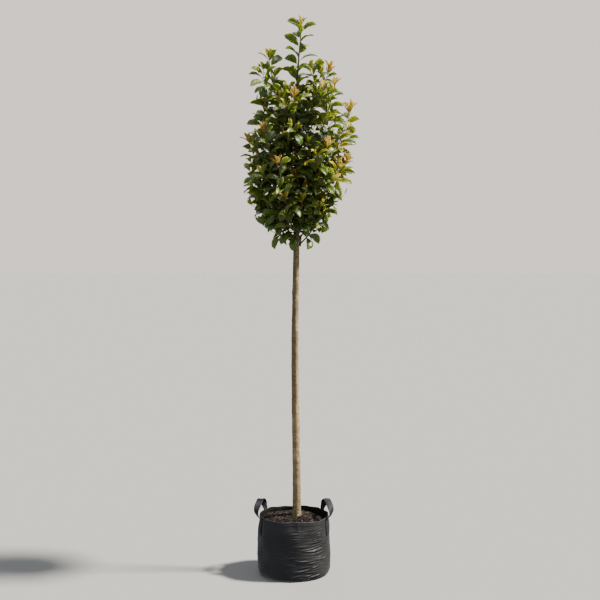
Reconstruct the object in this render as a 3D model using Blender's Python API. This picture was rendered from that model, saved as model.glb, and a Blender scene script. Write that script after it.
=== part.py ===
"""A standard photinia in a black fabric grow bag, at its real size.

One straight clear stem stands in a bag of compost and carries a narrow crown of rising shoots.
The frame has +Z up and its origin at the middle of the bag's flat underside, and the front is -Y.
Every limb is a smooth curve worked out from a few sizes. Every mass of foliage grows from one limb
by a seeded rule, keeps within reach of that limb, and leaves out what would touch a neighbour.
"""

import math
import random
from collections import namedtuple

import bmesh
import bpy
from mathutils import Quaternion, Vector
from mathutils.bvhtree import BVHTree

# ---------------------------------------------------------------- driving sizes, in metres

GAP = 0.0003  # between two pieces that touch

BAG_HEIGHT = 0.297
BAG_BODY_RADIUS = 0.182
BAG_RIM_RADIUS = 0.173
BAG_FOOT_RADIUS = 0.164
BAG_FOOT_ROUND = 0.022
BAG_SHOULDER_Z = 0.170  # from here the bag draws in towards its rim
BAG_WALL = 0.003
BAG_SIDES = 36

COMPOST_EDGE_DEPTH = 0.029  # below the rim, at the wall
COMPOST_CROWN_DEPTH = 0.009  # below the rim, round the trunk
TRUNK_SEAT_RADIUS = 0.034  # the flat middle of the compost

STRAP_WIDTH = 0.034
STRAP_THICKNESS = 0.003
STRAP_TAB_LENGTH = 0.090
STRAP_RISE = 0.072  # from the rim to the strap's middle at the top of its loop
STRAP_TOP_REACH = 0.170  # from the bag's middle to the top of the loop, across
STRAP_BOW = 0.038  # how far the front limb is pulled outwards
STRAP_FRONT_ANGLE = math.radians(-20)  # from the bag's side, positive towards the back
STRAP_BACK_ANGLE = math.radians(33)

TRUNK_X = 0.010  # the trunk stands a little to the right of the bag's middle
TRUNK_SWAY = 0.004
TRUNK_TOP_Z = 2.47  # above this the leader is a leafy shoot
TIP_Z = 2.805
LEADER_LEAN = 0.038
LEADER_LEAN_Z = 2.18  # the lean begins here
TRUNK_FLARE = 0.005
TRUNK_FLARE_HEIGHT = 0.035
TRUNK_SIDES = 12
# Height and radius of the trunk and its leader, from the compost to the tip.
TRUNK_TAPER = ((0.28, 0.0205), (1.64, 0.0155), (2.25, 0.0090), (TRUNK_TOP_Z, 0.0052), (TIP_Z, 0.0014))

BOUGH_SIDES = 5
BOUGH_BARE_LOW = 0.045  # length of the lowest bough outside the trunk, before its foliage begins
BOUGH_BARE_HIGH = 0.070
BOUGH_RADIUS = 0.0046
TIP_RADIUS = 0.0013

# ---------------------------------------------------------------- the crown's plan

CROWN_LOW_Z = 1.65
CROWN_HIGH_Z = 2.20
# The crown's outline: height, and how far its leaves may stand from the trunk's line there.
CROWN_OUTLINE = ((1.60, 0.090), (1.66, 0.115), (1.74, 0.175), (1.85, 0.245), (2.00, 0.290), (2.35, 0.340))

# A bough leaves the trunk at height `base`, heads for `azimuth` (0 is right, 270 the front), and its
# shoot ends `reach` from the trunk's line at height `top`.
Bough = namedtuple("Bough", "name base azimuth reach top")

BOUGHS = (
    Bough("foot_right", 1.655, 348, 0.160, 1.900),
    Bough("foot_front", 1.668, 282, 0.150, 1.890),
    Bough("foot_left", 1.660, 196, 0.150, 1.880),
    Bough("foot_back_left", 1.675, 128, 0.155, 1.905),
    Bough("foot_back_right", 1.670, 55, 0.155, 1.900),
    Bough("low_right", 1.735, 352, 0.250, 2.085),
    Bough("low_front", 1.745, 246, 0.215, 2.065),
    Bough("low_left", 1.730, 175, 0.235, 2.040),
    Bough("low_back", 1.750, 92, 0.225, 2.080),
    Bough("wide_right", 1.860, 6, 0.276, 2.345),
    Bough("wide_left", 1.820, 184, 0.240, 2.180),
    Bough("front_right", 1.830, 312, 0.225, 2.150),
    Bough("front_left", 1.865, 222, 0.215, 2.225),
    Bough("back_right", 1.845, 44, 0.230, 2.210),
    Bough("back_left", 1.875, 136, 0.220, 2.240),
    Bough("high_right", 1.990, 338, 0.204, 2.455),
    Bough("high_left", 1.960, 170, 0.172, 2.360),
    Bough("high_front", 2.050, 266, 0.140, 2.390),
    Bough("high_back", 2.020, 86, 0.155, 2.430),
    Bough("top_right", 2.250, 9, 0.168, 2.535),
    Bough("top_left", 2.090, 189, 0.138, 2.590),
)

# Short leafy spurs straight on the trunk, which fill the heart of the crown where there is room.
SPUR_COUNT = 5
SPUR_LOW_Z = 1.70
SPUR_HIGH_Z = 2.36
SPUR_LENGTH = 0.100
SPUR_RADIUS = 0.0026
SPUR_FIRST_LEAF = 0.026
SPUR_HEADING = math.radians(20)

# ---------------------------------------------------------------- the rule for twigs and leaves

GOLDEN_ANGLE = math.radians(137.5)
SEED = 23
TRIES = 5  # turns by the golden angle before a twig or leaf that finds no room is left out
REACH = 0.150  # no twig or leaf goes further than this from its mass's own limb
CLEARANCE = 0.0016  # between the leaves of two masses
TWIG_CLEARANCE = 0.0048

LEAF_LENGTH = 0.096
LEAF_WIDTH_SHARE = 0.56
LEAF_THICKNESS = 0.0026
LEAF_FOLD = 0.10  # how far the margins rise above the midrib, as a share of the leaf's length
LEAF_ARCH = 0.11  # how far the midrib rises in its middle
LEAF_HOOK = 0.05  # how far the tip drops below the root
LEAF_SPACING = 0.035
LEAF_DROOP_LOW = 1.0  # how far old leaves hang at the foot of the crown, as a share of their length
LEAF_DROOP_HIGH = 0.20
LEAF_YOUNG_LIFT = 0.10
LEAF_SPREAD_OLD = 1.25  # radians between a leaf and its twig, at the foot of the twig
LEAF_SPREAD_YOUNG = 0.70
FIRST_LEAF = 0.012

TUFT_LEAVES = 3
TUFT_LENGTH = 0.050
TUFT_SPACING = 0.008

TWIG_SPACING = 0.082
TWIG_LENGTH = 0.125
TWIG_RADIUS = 0.0019
TWIG_YOUTH = 0.35
TWIG_FIRST_LEAF = 0.024

UP = Vector((0, 0, 1))


# ---------------------------------------------------------------- curves


def mix(a, b, share):
    return a + (b - a) * share


def smooth(share):
    share = min(max(share, 0.0), 1.0)
    return share * share * (3 - 2 * share)


def step_through(table, x):
    """The value at x in a table of (x, value) pairs, with even steps between them."""
    for (low, first), (high, second) in zip(table, table[1:]):
        if x <= high:
            return mix(first, second, max(x - low, 0) / (high - low))
    return table[-1][1]


def polar(radius, azimuth, z=0.0):
    return Vector((radius * math.cos(azimuth), radius * math.sin(azimuth), z))


def bezier(a, b, c, d, count):
    """Points along a cubic curve, ends included."""
    points = []
    for i in range(count + 1):
        t = i / count
        s = 1 - t
        points.append(a * s**3 + b * (3 * s * s * t) + c * (3 * s * t * t) + d * t**3)
    return points


def trunk_centre(z):
    """The trunk's line: straight, with a slight sway, and a leader that leans to the right."""
    lean = 2 * LEADER_LEAN * smooth((z - LEADER_LEAN_Z) / (2 * (TIP_Z - LEADER_LEAN_Z)))
    x = TRUNK_X + TRUNK_SWAY * math.sin(4.2 * z) + lean
    return Vector((x, TRUNK_SWAY * math.sin(2.6 * z + 1.0), z))


def trunk_radius(z):
    flare = TRUNK_FLARE * math.exp(-max(z - TRUNK_TAPER[0][0], 0) / TRUNK_FLARE_HEIGHT)
    return step_through(TRUNK_TAPER, z) + flare


def crown_radius(z):
    return step_through(CROWN_OUTLINE, z)


class Limb:
    """A tapering limb along a line of points, which can be asked for any place on it."""

    def __init__(self, points, thick, thin):
        self.points = points
        self.thick, self.thin = thick, thin
        self.marks = [0.0]
        for a, b in zip(points, points[1:]):
            self.marks.append(self.marks[-1] + (b - a).length)
        self.length = self.marks[-1]

    def at(self, distance):
        """The point and the direction at this distance along the limb."""
        last = len(self.points) - 2
        for i in range(last + 1):
            if distance <= self.marks[i + 1] or i == last:
                a, b = self.points[i], self.points[i + 1]
                share = (distance - self.marks[i]) / (self.marks[i + 1] - self.marks[i])
                return a.lerp(b, share), (b - a).normalized()

    def radius(self, distance):
        return mix(self.thick, self.thin, distance / self.length)

    def part(self, start, end, count):
        """The stretch from start to end as a limb of its own, with count segments."""
        cuts = [mix(start, end, i / count) for i in range(count + 1)]
        return Limb([self.at(d)[0] for d in cuts], self.radius(start), self.radius(end))

    def widened(self, extra):
        return Limb(self.points, self.thick + extra, self.thin + extra)


# ---------------------------------------------------------------- solids as points and faces


def square_to(direction):
    """Two directions square to this one and to each other."""
    side = direction.cross(UP)
    if side.length < 0.05:
        side = direction.cross(Vector((0, 1, 0)))
    side.normalize()
    return side, direction.cross(side).normalized()


def direction_at(points, i):
    return (points[min(i + 1, len(points) - 1)] - points[max(i - 1, 0)]).normalized()


def joined_rings(rings, size):
    """The faces of a solid whose points come ring by ring, with a flat face at each end."""
    faces = []
    for i in range(rings - 1):
        for k in range(size):
            a, b = i * size + k, i * size + (k + 1) % size
            faces.append((a, b, b + size, a + size))
    faces.append(tuple(reversed(range(size))))
    faces.append(tuple(range((rings - 1) * size, rings * size)))
    return faces


def tube(points, radii, sides):
    """A closed round limb with flat ends, its rings carried along without twisting."""
    verts = []
    before = direction_at(points, 0)
    side = square_to(before)[0]
    for i, (point, radius) in enumerate(zip(points, radii)):
        along = direction_at(points, i)
        side = before.rotation_difference(along) @ side
        before = along
        verts += [point + Quaternion(along, math.tau * k / sides) @ side * radius for k in range(sides)]
    return verts, joined_rings(len(points), sides)


def limb_shape(limb, sides):
    return tube(limb.points, [limb.radius(mark) for mark in limb.marks], sides)


def turned(profile, sides):
    """A solid of revolution about Z from (radius, z) points, with flat ends."""
    verts = [polar(r, math.tau * k / sides, z) for r, z in profile for k in range(sides)]
    return verts, joined_rings(len(profile), sides)


def strip(points, widths, width, thickness):
    """A flat strap along the points, where widths gives the direction of its width at each."""
    verts = []
    for i, (point, wide) in enumerate(zip(points, widths)):
        along = direction_at(points, i)
        wide = (wide - along * wide.dot(along)).normalized() * (width / 2)
        thick = along.cross(wide).normalized() * (thickness / 2)
        verts += [point - wide - thick, point + wide - thick, point + wide + thick, point - wide + thick]
    return verts, joined_rings(len(points), 4)


# ---------------------------------------------------------------- objects and materials


def clear_scene():
    for obj in list(bpy.data.objects):
        bpy.data.objects.remove(obj, do_unlink=True)


def material(name, colour, roughness):
    made = bpy.data.materials.new(name)
    made.use_nodes = True
    shader = made.node_tree.nodes["Principled BSDF"]
    shader.inputs["Base Color"].default_value = (*colour, 1)
    shader.inputs["Roughness"].default_value = roughness
    shader.inputs["Metallic"].default_value = 0.0
    return made


def solid(name, shape, finish=None, collection=None):
    """An object from points and faces, with its faces turned outwards."""
    verts, faces = shape
    mesh = bpy.data.meshes.new(name)
    mesh.from_pydata(verts, [], faces)
    work = bmesh.new()
    work.from_mesh(mesh)
    bmesh.ops.recalc_face_normals(work, faces=work.faces)
    work.to_mesh(mesh)
    work.free()
    if finish:
        mesh.materials.append(finish)
    obj = bpy.data.objects.new(name, mesh)
    (collection or bpy.context.scene.collection).objects.link(obj)
    return obj


def shade_round(obj, angle=math.radians(45)):
    obj.data.shade_smooth()
    obj.data.set_sharp_from_angle(angle=angle)


def apply_boolean(obj, operation, solver, other=None, collection=None):
    """Runs one Boolean on obj and keeps its result as obj's own mesh."""
    modifier = obj.modifiers.new(operation.title(), "BOOLEAN")
    modifier.operation = operation
    modifier.solver = solver
    if other:
        modifier.object = other
    else:
        modifier.operand_type = "COLLECTION"
        modifier.collection = collection
    bpy.context.view_layer.update()
    result = bpy.data.meshes.new_from_object(obj.evaluated_get(bpy.context.evaluated_depsgraph_get()))
    obj.modifiers.clear()
    obj.data = result


def drop_scraps(obj):
    """Keeps the largest connected piece of a mesh."""
    work = bmesh.new()
    work.from_mesh(obj.data)
    left, islands = set(work.verts), []
    while left:
        island, edge = set(), {left.pop()}
        while edge:
            vert = edge.pop()
            island.add(vert)
            edge |= {e.other_vert(vert) for e in vert.link_edges} - island
        left -= island
        islands.append(island)
    keep = max(islands, key=len)
    bmesh.ops.delete(work, geom=[v for v in work.verts if v not in keep], context="VERTS")
    work.to_mesh(obj.data)
    work.free()


# ---------------------------------------------------------------- the bag, its straps and the compost


def bag_radius(z):
    """The bag's outer radius above its rounded foot: a full body that draws in to the rim."""
    share = max(z - BAG_SHOULDER_Z, 0) / (BAG_HEIGHT - BAG_SHOULDER_Z)
    return mix(BAG_BODY_RADIUS, BAG_RIM_RADIUS, share)


def foot_round(turn):
    """A point of the bag's rounded lower edge, where turn goes from 0 below to a quarter at the side."""
    radius = mix(BAG_FOOT_RADIUS, BAG_BODY_RADIUS, math.sin(turn))
    return radius, BAG_FOOT_ROUND * (1 - math.cos(turn))


def build_bag(finish):
    outside = [foot_round(math.pi / 2 * share) for share in (0, 1 / 3, 2 / 3, 1)]
    outside += [(bag_radius(z), z) for z in (BAG_SHOULDER_Z, BAG_HEIGHT)]
    inside = [(bag_radius(z) - BAG_WALL, z) for z in (BAG_HEIGHT, BAG_SHOULDER_Z)]
    inside += [(BAG_BODY_RADIUS - BAG_WALL, BAG_FOOT_ROUND + BAG_WALL), (BAG_FOOT_RADIUS - BAG_WALL, BAG_WALL)]
    shade_round(solid("grow_bag", turned(outside + inside, BAG_SIDES), finish))


def build_compost(finish):
    """The bag's fill: it follows the inside of the wall, and rises a little towards the trunk."""
    top = BAG_HEIGHT - COMPOST_EDGE_DEPTH
    seat = BAG_HEIGHT - COMPOST_CROWN_DEPTH
    play = BAG_WALL + GAP
    side = [(BAG_FOOT_RADIUS - play, play), (BAG_BODY_RADIUS - play, BAG_FOOT_ROUND + play)]
    side += [(bag_radius(z) - play, z) for z in (BAG_SHOULDER_Z, top)]
    edge = bag_radius(top) - play
    mound = [(mix(TRUNK_SEAT_RADIUS, edge, share), mix(seat, top, share**1.5)) for share in (0.7, 0.35, 0)]
    shade_round(solid("compost", turned(side + mound, BAG_SIDES), finish))


def strap_route(side):
    """The strap's middle line and the directions of its width: up one tab, over, and down the other.

    side is -1 for the left strap and 1 for the right. The tabs lie flat on the wall, and the loop
    between them turns its face to the front and bows out over its front tab.
    """

    def on_wall(angle, z):
        reach = bag_radius(z) + GAP * 1.5 + STRAP_THICKNESS / 2
        return Vector((side * reach * math.cos(angle), reach * math.sin(angle), z))

    def along_wall(angle):
        """The way round the wall, in the sense that points away from the bag's middle."""
        way = Vector((-side * math.sin(angle), math.cos(angle), 0))
        return way if way.x * side > 0 else -way

    outward, backward = Vector((side, 0, 0)), Vector((0, 1, 0))
    tab = [BAG_HEIGHT - STRAP_TAB_LENGTH, BAG_HEIGHT - STRAP_TAB_LENGTH / 2, BAG_HEIGHT]
    front = [on_wall(STRAP_FRONT_ANGLE, z) for z in tab]
    back = [on_wall(STRAP_BACK_ANGLE, z) for z in reversed(tab)]
    start, end = front[-1], back[0]
    top = Vector((side * STRAP_TOP_REACH, (start.y + end.y) / 2, BAG_HEIGHT + STRAP_RISE))
    shoulder = backward * (end.y - start.y) * 0.28
    pull_out = outward * STRAP_BOW + UP * STRAP_RISE * 0.66
    pull_back = outward * STRAP_BOW * 0.16 + UP * STRAP_RISE * 0.60
    rise = bezier(start, start + pull_out, top - shoulder, top, 8)
    fall = bezier(top, top + shoulder, end + pull_back, end, 7)
    points = front + rise[1:] + fall[1:-1] + back
    widths = []
    for point in points:
        flat = along_wall(STRAP_FRONT_ANGLE if point.y < top.y else STRAP_BACK_ANGLE)
        widths.append(flat.slerp(outward, smooth((point.z - BAG_HEIGHT) / STRAP_RISE)))
    return points, widths


def build_strap(name, side, finish):
    points, widths = strap_route(side)
    shade_round(solid(name, strip(points, widths, STRAP_WIDTH, STRAP_THICKNESS), finish))


# ---------------------------------------------------------------- the woody frame


def trunk_shape(foot, extra=0.0):
    """The trunk from its foot to where the leader shoot begins, with rings closer at the flare."""
    steps = 14
    heights = [foot, foot + 0.015, foot + 0.040]
    heights += [mix(foot + 0.090, TRUNK_TOP_Z, i / steps) for i in range(steps + 1)]
    return tube([trunk_centre(z) for z in heights], [trunk_radius(z) + extra for z in heights], TRUNK_SIDES)


def bough_line(bough):
    """A bough and its shoot as one limb from the trunk's line: out at a slant, then bending upright."""
    heading = math.radians(bough.azimuth)
    start = trunk_centre(bough.base)
    rise = bough.top - bough.base
    tip = start + polar(bough.reach, heading, rise)
    first = start + polar(bough.reach * 0.45, heading, rise * 0.22)
    second = tip - polar(bough.reach * 0.22, heading, rise * 0.42)
    return Limb(bezier(start, first, second, tip, 14), BOUGH_RADIUS, TIP_RADIUS)


def bare_length(bough):
    """How much of a bough, from the trunk's line, is bare wood before its mass of foliage begins."""
    height = (bough.base - CROWN_LOW_Z) / (CROWN_HIGH_Z - CROWN_LOW_Z)
    return trunk_radius(bough.base) + mix(BOUGH_BARE_LOW, BOUGH_BARE_HIGH, min(height, 1))


def spur_line(base, heading):
    """A short side shoot straight on the trunk."""
    start = trunk_centre(base)
    reach = SPUR_LENGTH + trunk_radius(base)
    bend = start + polar(reach * 0.6, heading, reach * 0.30)
    tip = start + polar(reach * 0.85, heading, reach * 0.75)
    return Limb(bezier(start, bend, bend, tip, 5), SPUR_RADIUS, TIP_RADIUS)


def leader_line():
    """The shoot that carries on from the trunk's top to the tip of the plant."""
    heights = [mix(TRUNK_TOP_Z + GAP, TIP_Z - TUFT_LENGTH, i / 8) for i in range(9)]
    return Limb([trunk_centre(z) for z in heights], trunk_radius(TRUNK_TOP_Z), TIP_RADIUS)


# ---------------------------------------------------------------- twigs and leaves

Leaf = namedtuple("Leaf", "root along up length")


def leaf_shape(leaf, extra=0.0):
    """A blade of eight faces: pointed at both ends, folded along its midrib, and arched over."""
    side = leaf.along.cross(leaf.up).normalized()
    half = leaf.length * LEAF_WIDTH_SHARE / 2 + extra
    middle = leaf.root + leaf.along * leaf.length * 0.52 + leaf.up * leaf.length * LEAF_ARCH
    margin = middle + leaf.up * leaf.length * LEAF_FOLD - leaf.along * leaf.length * 0.03
    tip = leaf.root + leaf.along * (leaf.length + extra) - leaf.up * leaf.length * LEAF_HOOK
    thick = leaf.up * (LEAF_THICKNESS / 2 + extra)
    verts = [leaf.root, margin - side * half, tip, margin + side * half, middle + thick, middle - thick]
    faces = [(k, (k + 1) % 4, 4) for k in range(4)] + [((k + 1) % 4, k, 5) for k in range(4)]
    return verts, faces


def without_root(shape):
    """The same blade without the stretch that is sunk in its twig."""
    verts, faces = shape
    first = verts[0].lerp((verts[4] + verts[5]) / 2, 0.22)
    return [first, *verts[1:]], faces


def without_foot(limb):
    """A limb's surface without its first stretch, where it leaves another limb."""
    return tube(limb.points[1:], [limb.radius(mark) for mark in limb.marks[1:]], 4)


class Item:
    """Something that takes up room, and the mass that it belongs to.

    clear is its surface without the root that is sunk in its own twig, and its own mass is tested
    against that. Others are tested against all of it.
    """

    def __init__(self, shape, mass="", clear=None, wood=True):
        self.mass, self.wood = mass, wood
        self.whole = BVHTree.FromPolygons(*shape)
        self.clear = BVHTree.FromPolygons(*clear) if clear else self.whole
        self.centre = sum(shape[0], Vector()) / len(shape[0])
        self.reach = max((v - self.centre).length for v in shape[0])


def free_of(items, whole, mass, clear=None, near_wood=False):
    """True if a shape touches no item of another mass, and its clear form no item of its own mass.

    A leaf that lies along its own twig, near_wood, may touch its own mass's wood.
    """
    item = Item(whole, mass, clear)
    for other in items:
        if (other.centre - item.centre).length > other.reach + item.reach:
            continue
        if other.mass != mass:
            touching = other.whole.overlap(item.whole)
        elif near_wood and other.wood or not clear:
            touching = False
        else:
            touching = other.clear.overlap(item.clear)
        if touching:
            return False
    return True


class Mass:
    """One mass of foliage: a main limb, its side twigs and their leaves."""

    def __init__(self, name, limb, seed):
        self.name, self.limb = name, limb
        self.random = random.Random(seed)
        self.twigs = []
        self.leaves = []

    def holds(self, points):
        """True if every point is near the main limb and inside the crown's outline."""
        for point in points:
            if min((point - p).length for p in self.limb.points) > REACH:
                return False
            if (point - trunk_centre(point.z)).length > crown_radius(point.z):
                return False
        return True


def twig_at(rng, root, along, out, share):
    """A side twig that leaves at a slant and bends upright. share is how far up its limb it stands."""
    length = TWIG_LENGTH * mix(1.05, 0.50, share) * rng.uniform(0.8, 1.15)
    aim = (along * 0.55 + out * 0.85 + UP * 0.1).normalized()
    bend = root + aim * length * 0.55
    tip = bend + (aim + UP * 0.55).normalized() * length * 0.45
    return Limb(bezier(root, root + aim * length * 0.3, bend, tip, 3), TWIG_RADIUS, TIP_RADIUS)


def leaf_at(rng, root, along, out, share):
    """A leaf that stands out from its twig: young ones point up the shoot, old ones arch out and hang."""
    height = smooth((root.z - CROWN_LOW_Z) / (CROWN_HIGH_Z - CROWN_LOW_Z))
    droop = mix(mix(LEAF_DROOP_LOW, LEAF_DROOP_HIGH, height), -LEAF_YOUNG_LIFT, share)
    spread = mix(LEAF_SPREAD_OLD, LEAF_SPREAD_YOUNG, share) + rng.uniform(-0.12, 0.12)
    aim = along * math.cos(spread) + out * math.sin(spread) - UP * droop * rng.uniform(0.6, 1.3)
    aim.normalize()
    up = UP + out * rng.uniform(-0.10, 0.45) + aim.cross(UP) * rng.uniform(-0.40, 0.40)
    up = (up - aim * up.dot(aim)).normalized()
    return Leaf(root, aim, up, LEAF_LENGTH * rng.uniform(0.82, 1.08) * mix(1.0, 0.80, share))


def tuft_leaf_at(rng, root, along, out):
    """A small leaf at the end of a shoot, nearly upright and cupped round it."""
    aim = (along + out * rng.uniform(0.25, 0.50) + UP * 0.2).normalized()
    up = (aim * out.dot(aim) - out).normalized()
    return Leaf(root, aim, up, TUFT_LENGTH * rng.uniform(0.8, 1.15))


def turned_out(along, angle):
    return Quaternion(along, angle) @ square_to(along)[0]


def grow_twigs(mass, items):
    """Side twigs up the main limb, each turned from the last by the golden angle."""
    limb = mass.limb
    angle = mass.random.uniform(0, math.tau)
    distance = TWIG_SPACING * 0.35
    while distance < limb.length - TWIG_SPACING * 0.9:
        root, along = limb.at(distance)
        for _ in range(TRIES):
            angle += GOLDEN_ANGLE
            twig = twig_at(mass.random, root, along, turned_out(along, angle), distance / limb.length)
            wide = limb_shape(twig.widened(TWIG_CLEARANCE), 4)
            if mass.holds(twig.points) and free_of(items, wide, mass.name):
                mass.twigs.append(twig)
                items.append(Item(limb_shape(twig, 4), mass.name, without_foot(twig)))
                break
        distance += TWIG_SPACING * mass.random.uniform(0.85, 1.15)


def keep_leaf(mass, leaf, items, near_wood=False):
    """Adds the leaf if it is within reach and touches nothing, and says whether it did."""
    shape = leaf_shape(leaf)
    clear = without_root(shape)
    if not mass.holds(shape[0]):
        return False
    if not free_of(items, leaf_shape(leaf, CLEARANCE), mass.name, clear, near_wood):
        return False
    mass.leaves.append(leaf)
    items.append(Item(shape, mass.name, clear, wood=False))
    return True


def grow_leaves(mass, limb, items, first, youth, tuft):
    """Leaves up one limb or twig by the golden angle, and small upright ones at its tip."""
    rng = mass.random
    angle = rng.uniform(0, math.tau)
    for index in range(tuft):
        root, along = limb.at(limb.length - 0.003 - index * TUFT_SPACING)
        angle += GOLDEN_ANGLE
        keep_leaf(mass, tuft_leaf_at(rng, root, along, turned_out(along, angle)), items, near_wood=True)
    distance = first
    while distance < limb.length - (tuft + 1) * TUFT_SPACING:
        root, along = limb.at(distance)
        share = mix(youth, 1.0, distance / limb.length)
        for _ in range(TRIES):
            angle += GOLDEN_ANGLE
            if keep_leaf(mass, leaf_at(rng, root, along, turned_out(along, angle), share), items):
                break
        distance += LEAF_SPACING * rng.uniform(0.85, 1.15)


# ---------------------------------------------------------------- the crown


def plan_masses(items):
    """The masses with their main limbs only: one on each bough, the leader, and the spurs."""
    masses = []
    for index, bough in enumerate(BOUGHS):
        line = bough_line(bough)
        limb = line.part(bare_length(bough) + GAP, line.length, 7)
        masses.append(Mass("foliage_" + bough.name, limb, SEED + index))
    masses.append(Mass("foliage_leader", leader_line(), SEED + 100))
    items += [Item(limb_shape(mass.limb, 4), mass.name) for mass in masses]
    heading = SPUR_HEADING
    for index in range(SPUR_COUNT):
        base = mix(SPUR_LOW_Z, SPUR_HIGH_Z, index / (SPUR_COUNT - 1))
        for _ in range(TRIES):
            heading += GOLDEN_ANGLE
            limb = spur_line(base, heading)
            outside = limb.part(trunk_radius(base) / 2, limb.length, 5)
            if free_of(items[1:], limb_shape(outside.widened(TWIG_CLEARANCE), 4), "spur"):
                masses.append(Mass(f"foliage_spur_{len(masses) - len(BOUGHS)}", limb, SEED + 200 + index))
                items.append(Item(limb_shape(limb, 4), masses[-1].name))
                break
    return masses


def grow_crown(limbs):
    """Every mass of the crown. limbs are the solids that foliage has to miss, the trunk first."""
    items = [Item(shape) for shape in limbs]
    masses = plan_masses(items)
    for mass in masses[: len(BOUGHS)]:
        grow_twigs(mass, items)
    for mass in masses:
        first = SPUR_FIRST_LEAF if "spur" in mass.name else FIRST_LEAF
        grow_leaves(mass, mass.limb, items, first, 0.0, TUFT_LEAVES)
        for twig in mass.twigs:
            grow_leaves(mass, twig, items, TWIG_FIRST_LEAF, TWIG_YOUTH, 1)
    return masses


def fuse_mass(mass, finish, trunk_cutter):
    """One solid from a mass's main limb, twigs and leaves. A spur's foot is cut clear of the trunk."""
    parts = bpy.data.collections.new(mass.name + "_parts")
    bpy.context.scene.collection.children.link(parts)
    shapes = [limb_shape(twig, 3) for twig in mass.twigs] + [leaf_shape(leaf) for leaf in mass.leaves]
    for index, shape in enumerate(shapes):
        solid(f"{mass.name}_part_{index}", shape, collection=parts)
    obj = solid(mass.name, limb_shape(mass.limb, 3))
    apply_boolean(obj, "UNION", "MANIFOLD", collection=parts)
    if "spur" in mass.name:
        apply_boolean(obj, "DIFFERENCE", "MANIFOLD", other=trunk_cutter)
    for part in list(parts.objects):
        bpy.data.objects.remove(part, do_unlink=True)
    bpy.data.collections.remove(parts)
    drop_scraps(obj)
    obj.data.materials.clear()
    obj.data.materials.append(finish)


def build_boughs(bark, trunk_cutter):
    """The bare foot of each bough, cut clear of the trunk. Returns their shapes."""
    shapes = []
    for bough in BOUGHS:
        shape = limb_shape(bough_line(bough).part(0.0, bare_length(bough), 3), BOUGH_SIDES)
        shapes.append(shape)
        obj = solid("bough_" + bough.name, shape, bark)
        apply_boolean(obj, "DIFFERENCE", "EXACT", other=trunk_cutter)
        shade_round(obj, math.radians(80))
    return shapes


def main():
    clear_scene()
    build_bag(material("bag_fabric", (0.020, 0.021, 0.024), 0.55))
    build_compost(material("compost", (0.060, 0.038, 0.028), 0.95))
    webbing = material("strap_webbing", (0.030, 0.033, 0.040), 0.65)
    build_strap("strap_left", -1, webbing)
    build_strap("strap_right", 1, webbing)

    bark = material("bark", (0.300, 0.245, 0.150), 0.80)
    foot = BAG_HEIGHT - COMPOST_CROWN_DEPTH + GAP
    trunk = trunk_shape(foot)
    shade_round(solid("trunk", trunk, bark))
    cutter = solid("trunk_cutter", trunk_shape(foot, GAP))
    boughs = build_boughs(bark, cutter)

    foliage = material("foliage", (0.075, 0.160, 0.030), 0.40)
    for mass in grow_crown([trunk, *boughs]):
        fuse_mass(mass, foliage, cutter)
    bpy.data.objects.remove(cutter, do_unlink=True)


main()
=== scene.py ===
"""The finished look of the standard photinia in its fabric grow bag.

The limbs, the table of boughs and the rule for twigs and leaves are those of the solids, carried to finer
twigs and life-size leaves. Everything is in metres, with +Z up and the front at -Y.
"""

import math
import random
from collections import namedtuple

import bpy
import numpy as np
from mathutils import Matrix, Quaternion, Vector, noise
from mathutils.bvhtree import BVHTree


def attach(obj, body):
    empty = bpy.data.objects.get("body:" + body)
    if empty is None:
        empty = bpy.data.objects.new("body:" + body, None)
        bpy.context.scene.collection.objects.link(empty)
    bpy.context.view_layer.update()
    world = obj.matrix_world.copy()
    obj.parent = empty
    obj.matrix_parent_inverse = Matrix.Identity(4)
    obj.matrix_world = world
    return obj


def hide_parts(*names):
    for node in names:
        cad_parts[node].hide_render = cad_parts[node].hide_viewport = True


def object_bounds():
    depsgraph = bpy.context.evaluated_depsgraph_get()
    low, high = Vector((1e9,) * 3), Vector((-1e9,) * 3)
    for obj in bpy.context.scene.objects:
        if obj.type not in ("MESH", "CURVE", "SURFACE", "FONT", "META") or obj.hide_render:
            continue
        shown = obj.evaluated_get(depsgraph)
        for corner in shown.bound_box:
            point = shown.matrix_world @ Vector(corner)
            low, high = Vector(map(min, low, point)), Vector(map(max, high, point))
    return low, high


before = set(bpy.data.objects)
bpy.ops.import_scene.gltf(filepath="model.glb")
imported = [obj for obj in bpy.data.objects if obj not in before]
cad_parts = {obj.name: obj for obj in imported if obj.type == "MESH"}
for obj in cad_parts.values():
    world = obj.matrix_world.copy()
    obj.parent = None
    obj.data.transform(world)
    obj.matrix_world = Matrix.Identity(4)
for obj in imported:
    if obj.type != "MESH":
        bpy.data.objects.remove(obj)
FRAME_BOUNDS = [list(corner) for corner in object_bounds()]

# ---------------------------------------------------------------- sizes shared with the solids, in metres

GAP = 0.0003

BAG_HEIGHT = 0.297
BAG_BODY_RADIUS = 0.182
BAG_RIM_RADIUS = 0.173
BAG_FOOT_RADIUS = 0.164
BAG_FOOT_ROUND = 0.022
BAG_SHOULDER_Z = 0.170
BAG_WALL = 0.003

COMPOST_EDGE_DEPTH = 0.029
COMPOST_CROWN_DEPTH = 0.009
TRUNK_SEAT_RADIUS = 0.034

STRAP_WIDTH = 0.034
STRAP_THICKNESS = 0.003
STRAP_TAB_LENGTH = 0.090
STRAP_RISE = 0.072
STRAP_TOP_REACH = 0.170
STRAP_BOW = 0.038
STRAP_LEAVES = 0.016  # how far below the rim the front leg leaves the wall
STRAP_FRONT_ANGLE = math.radians(-20)
STRAP_BACK_ANGLE = math.radians(33)

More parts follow.
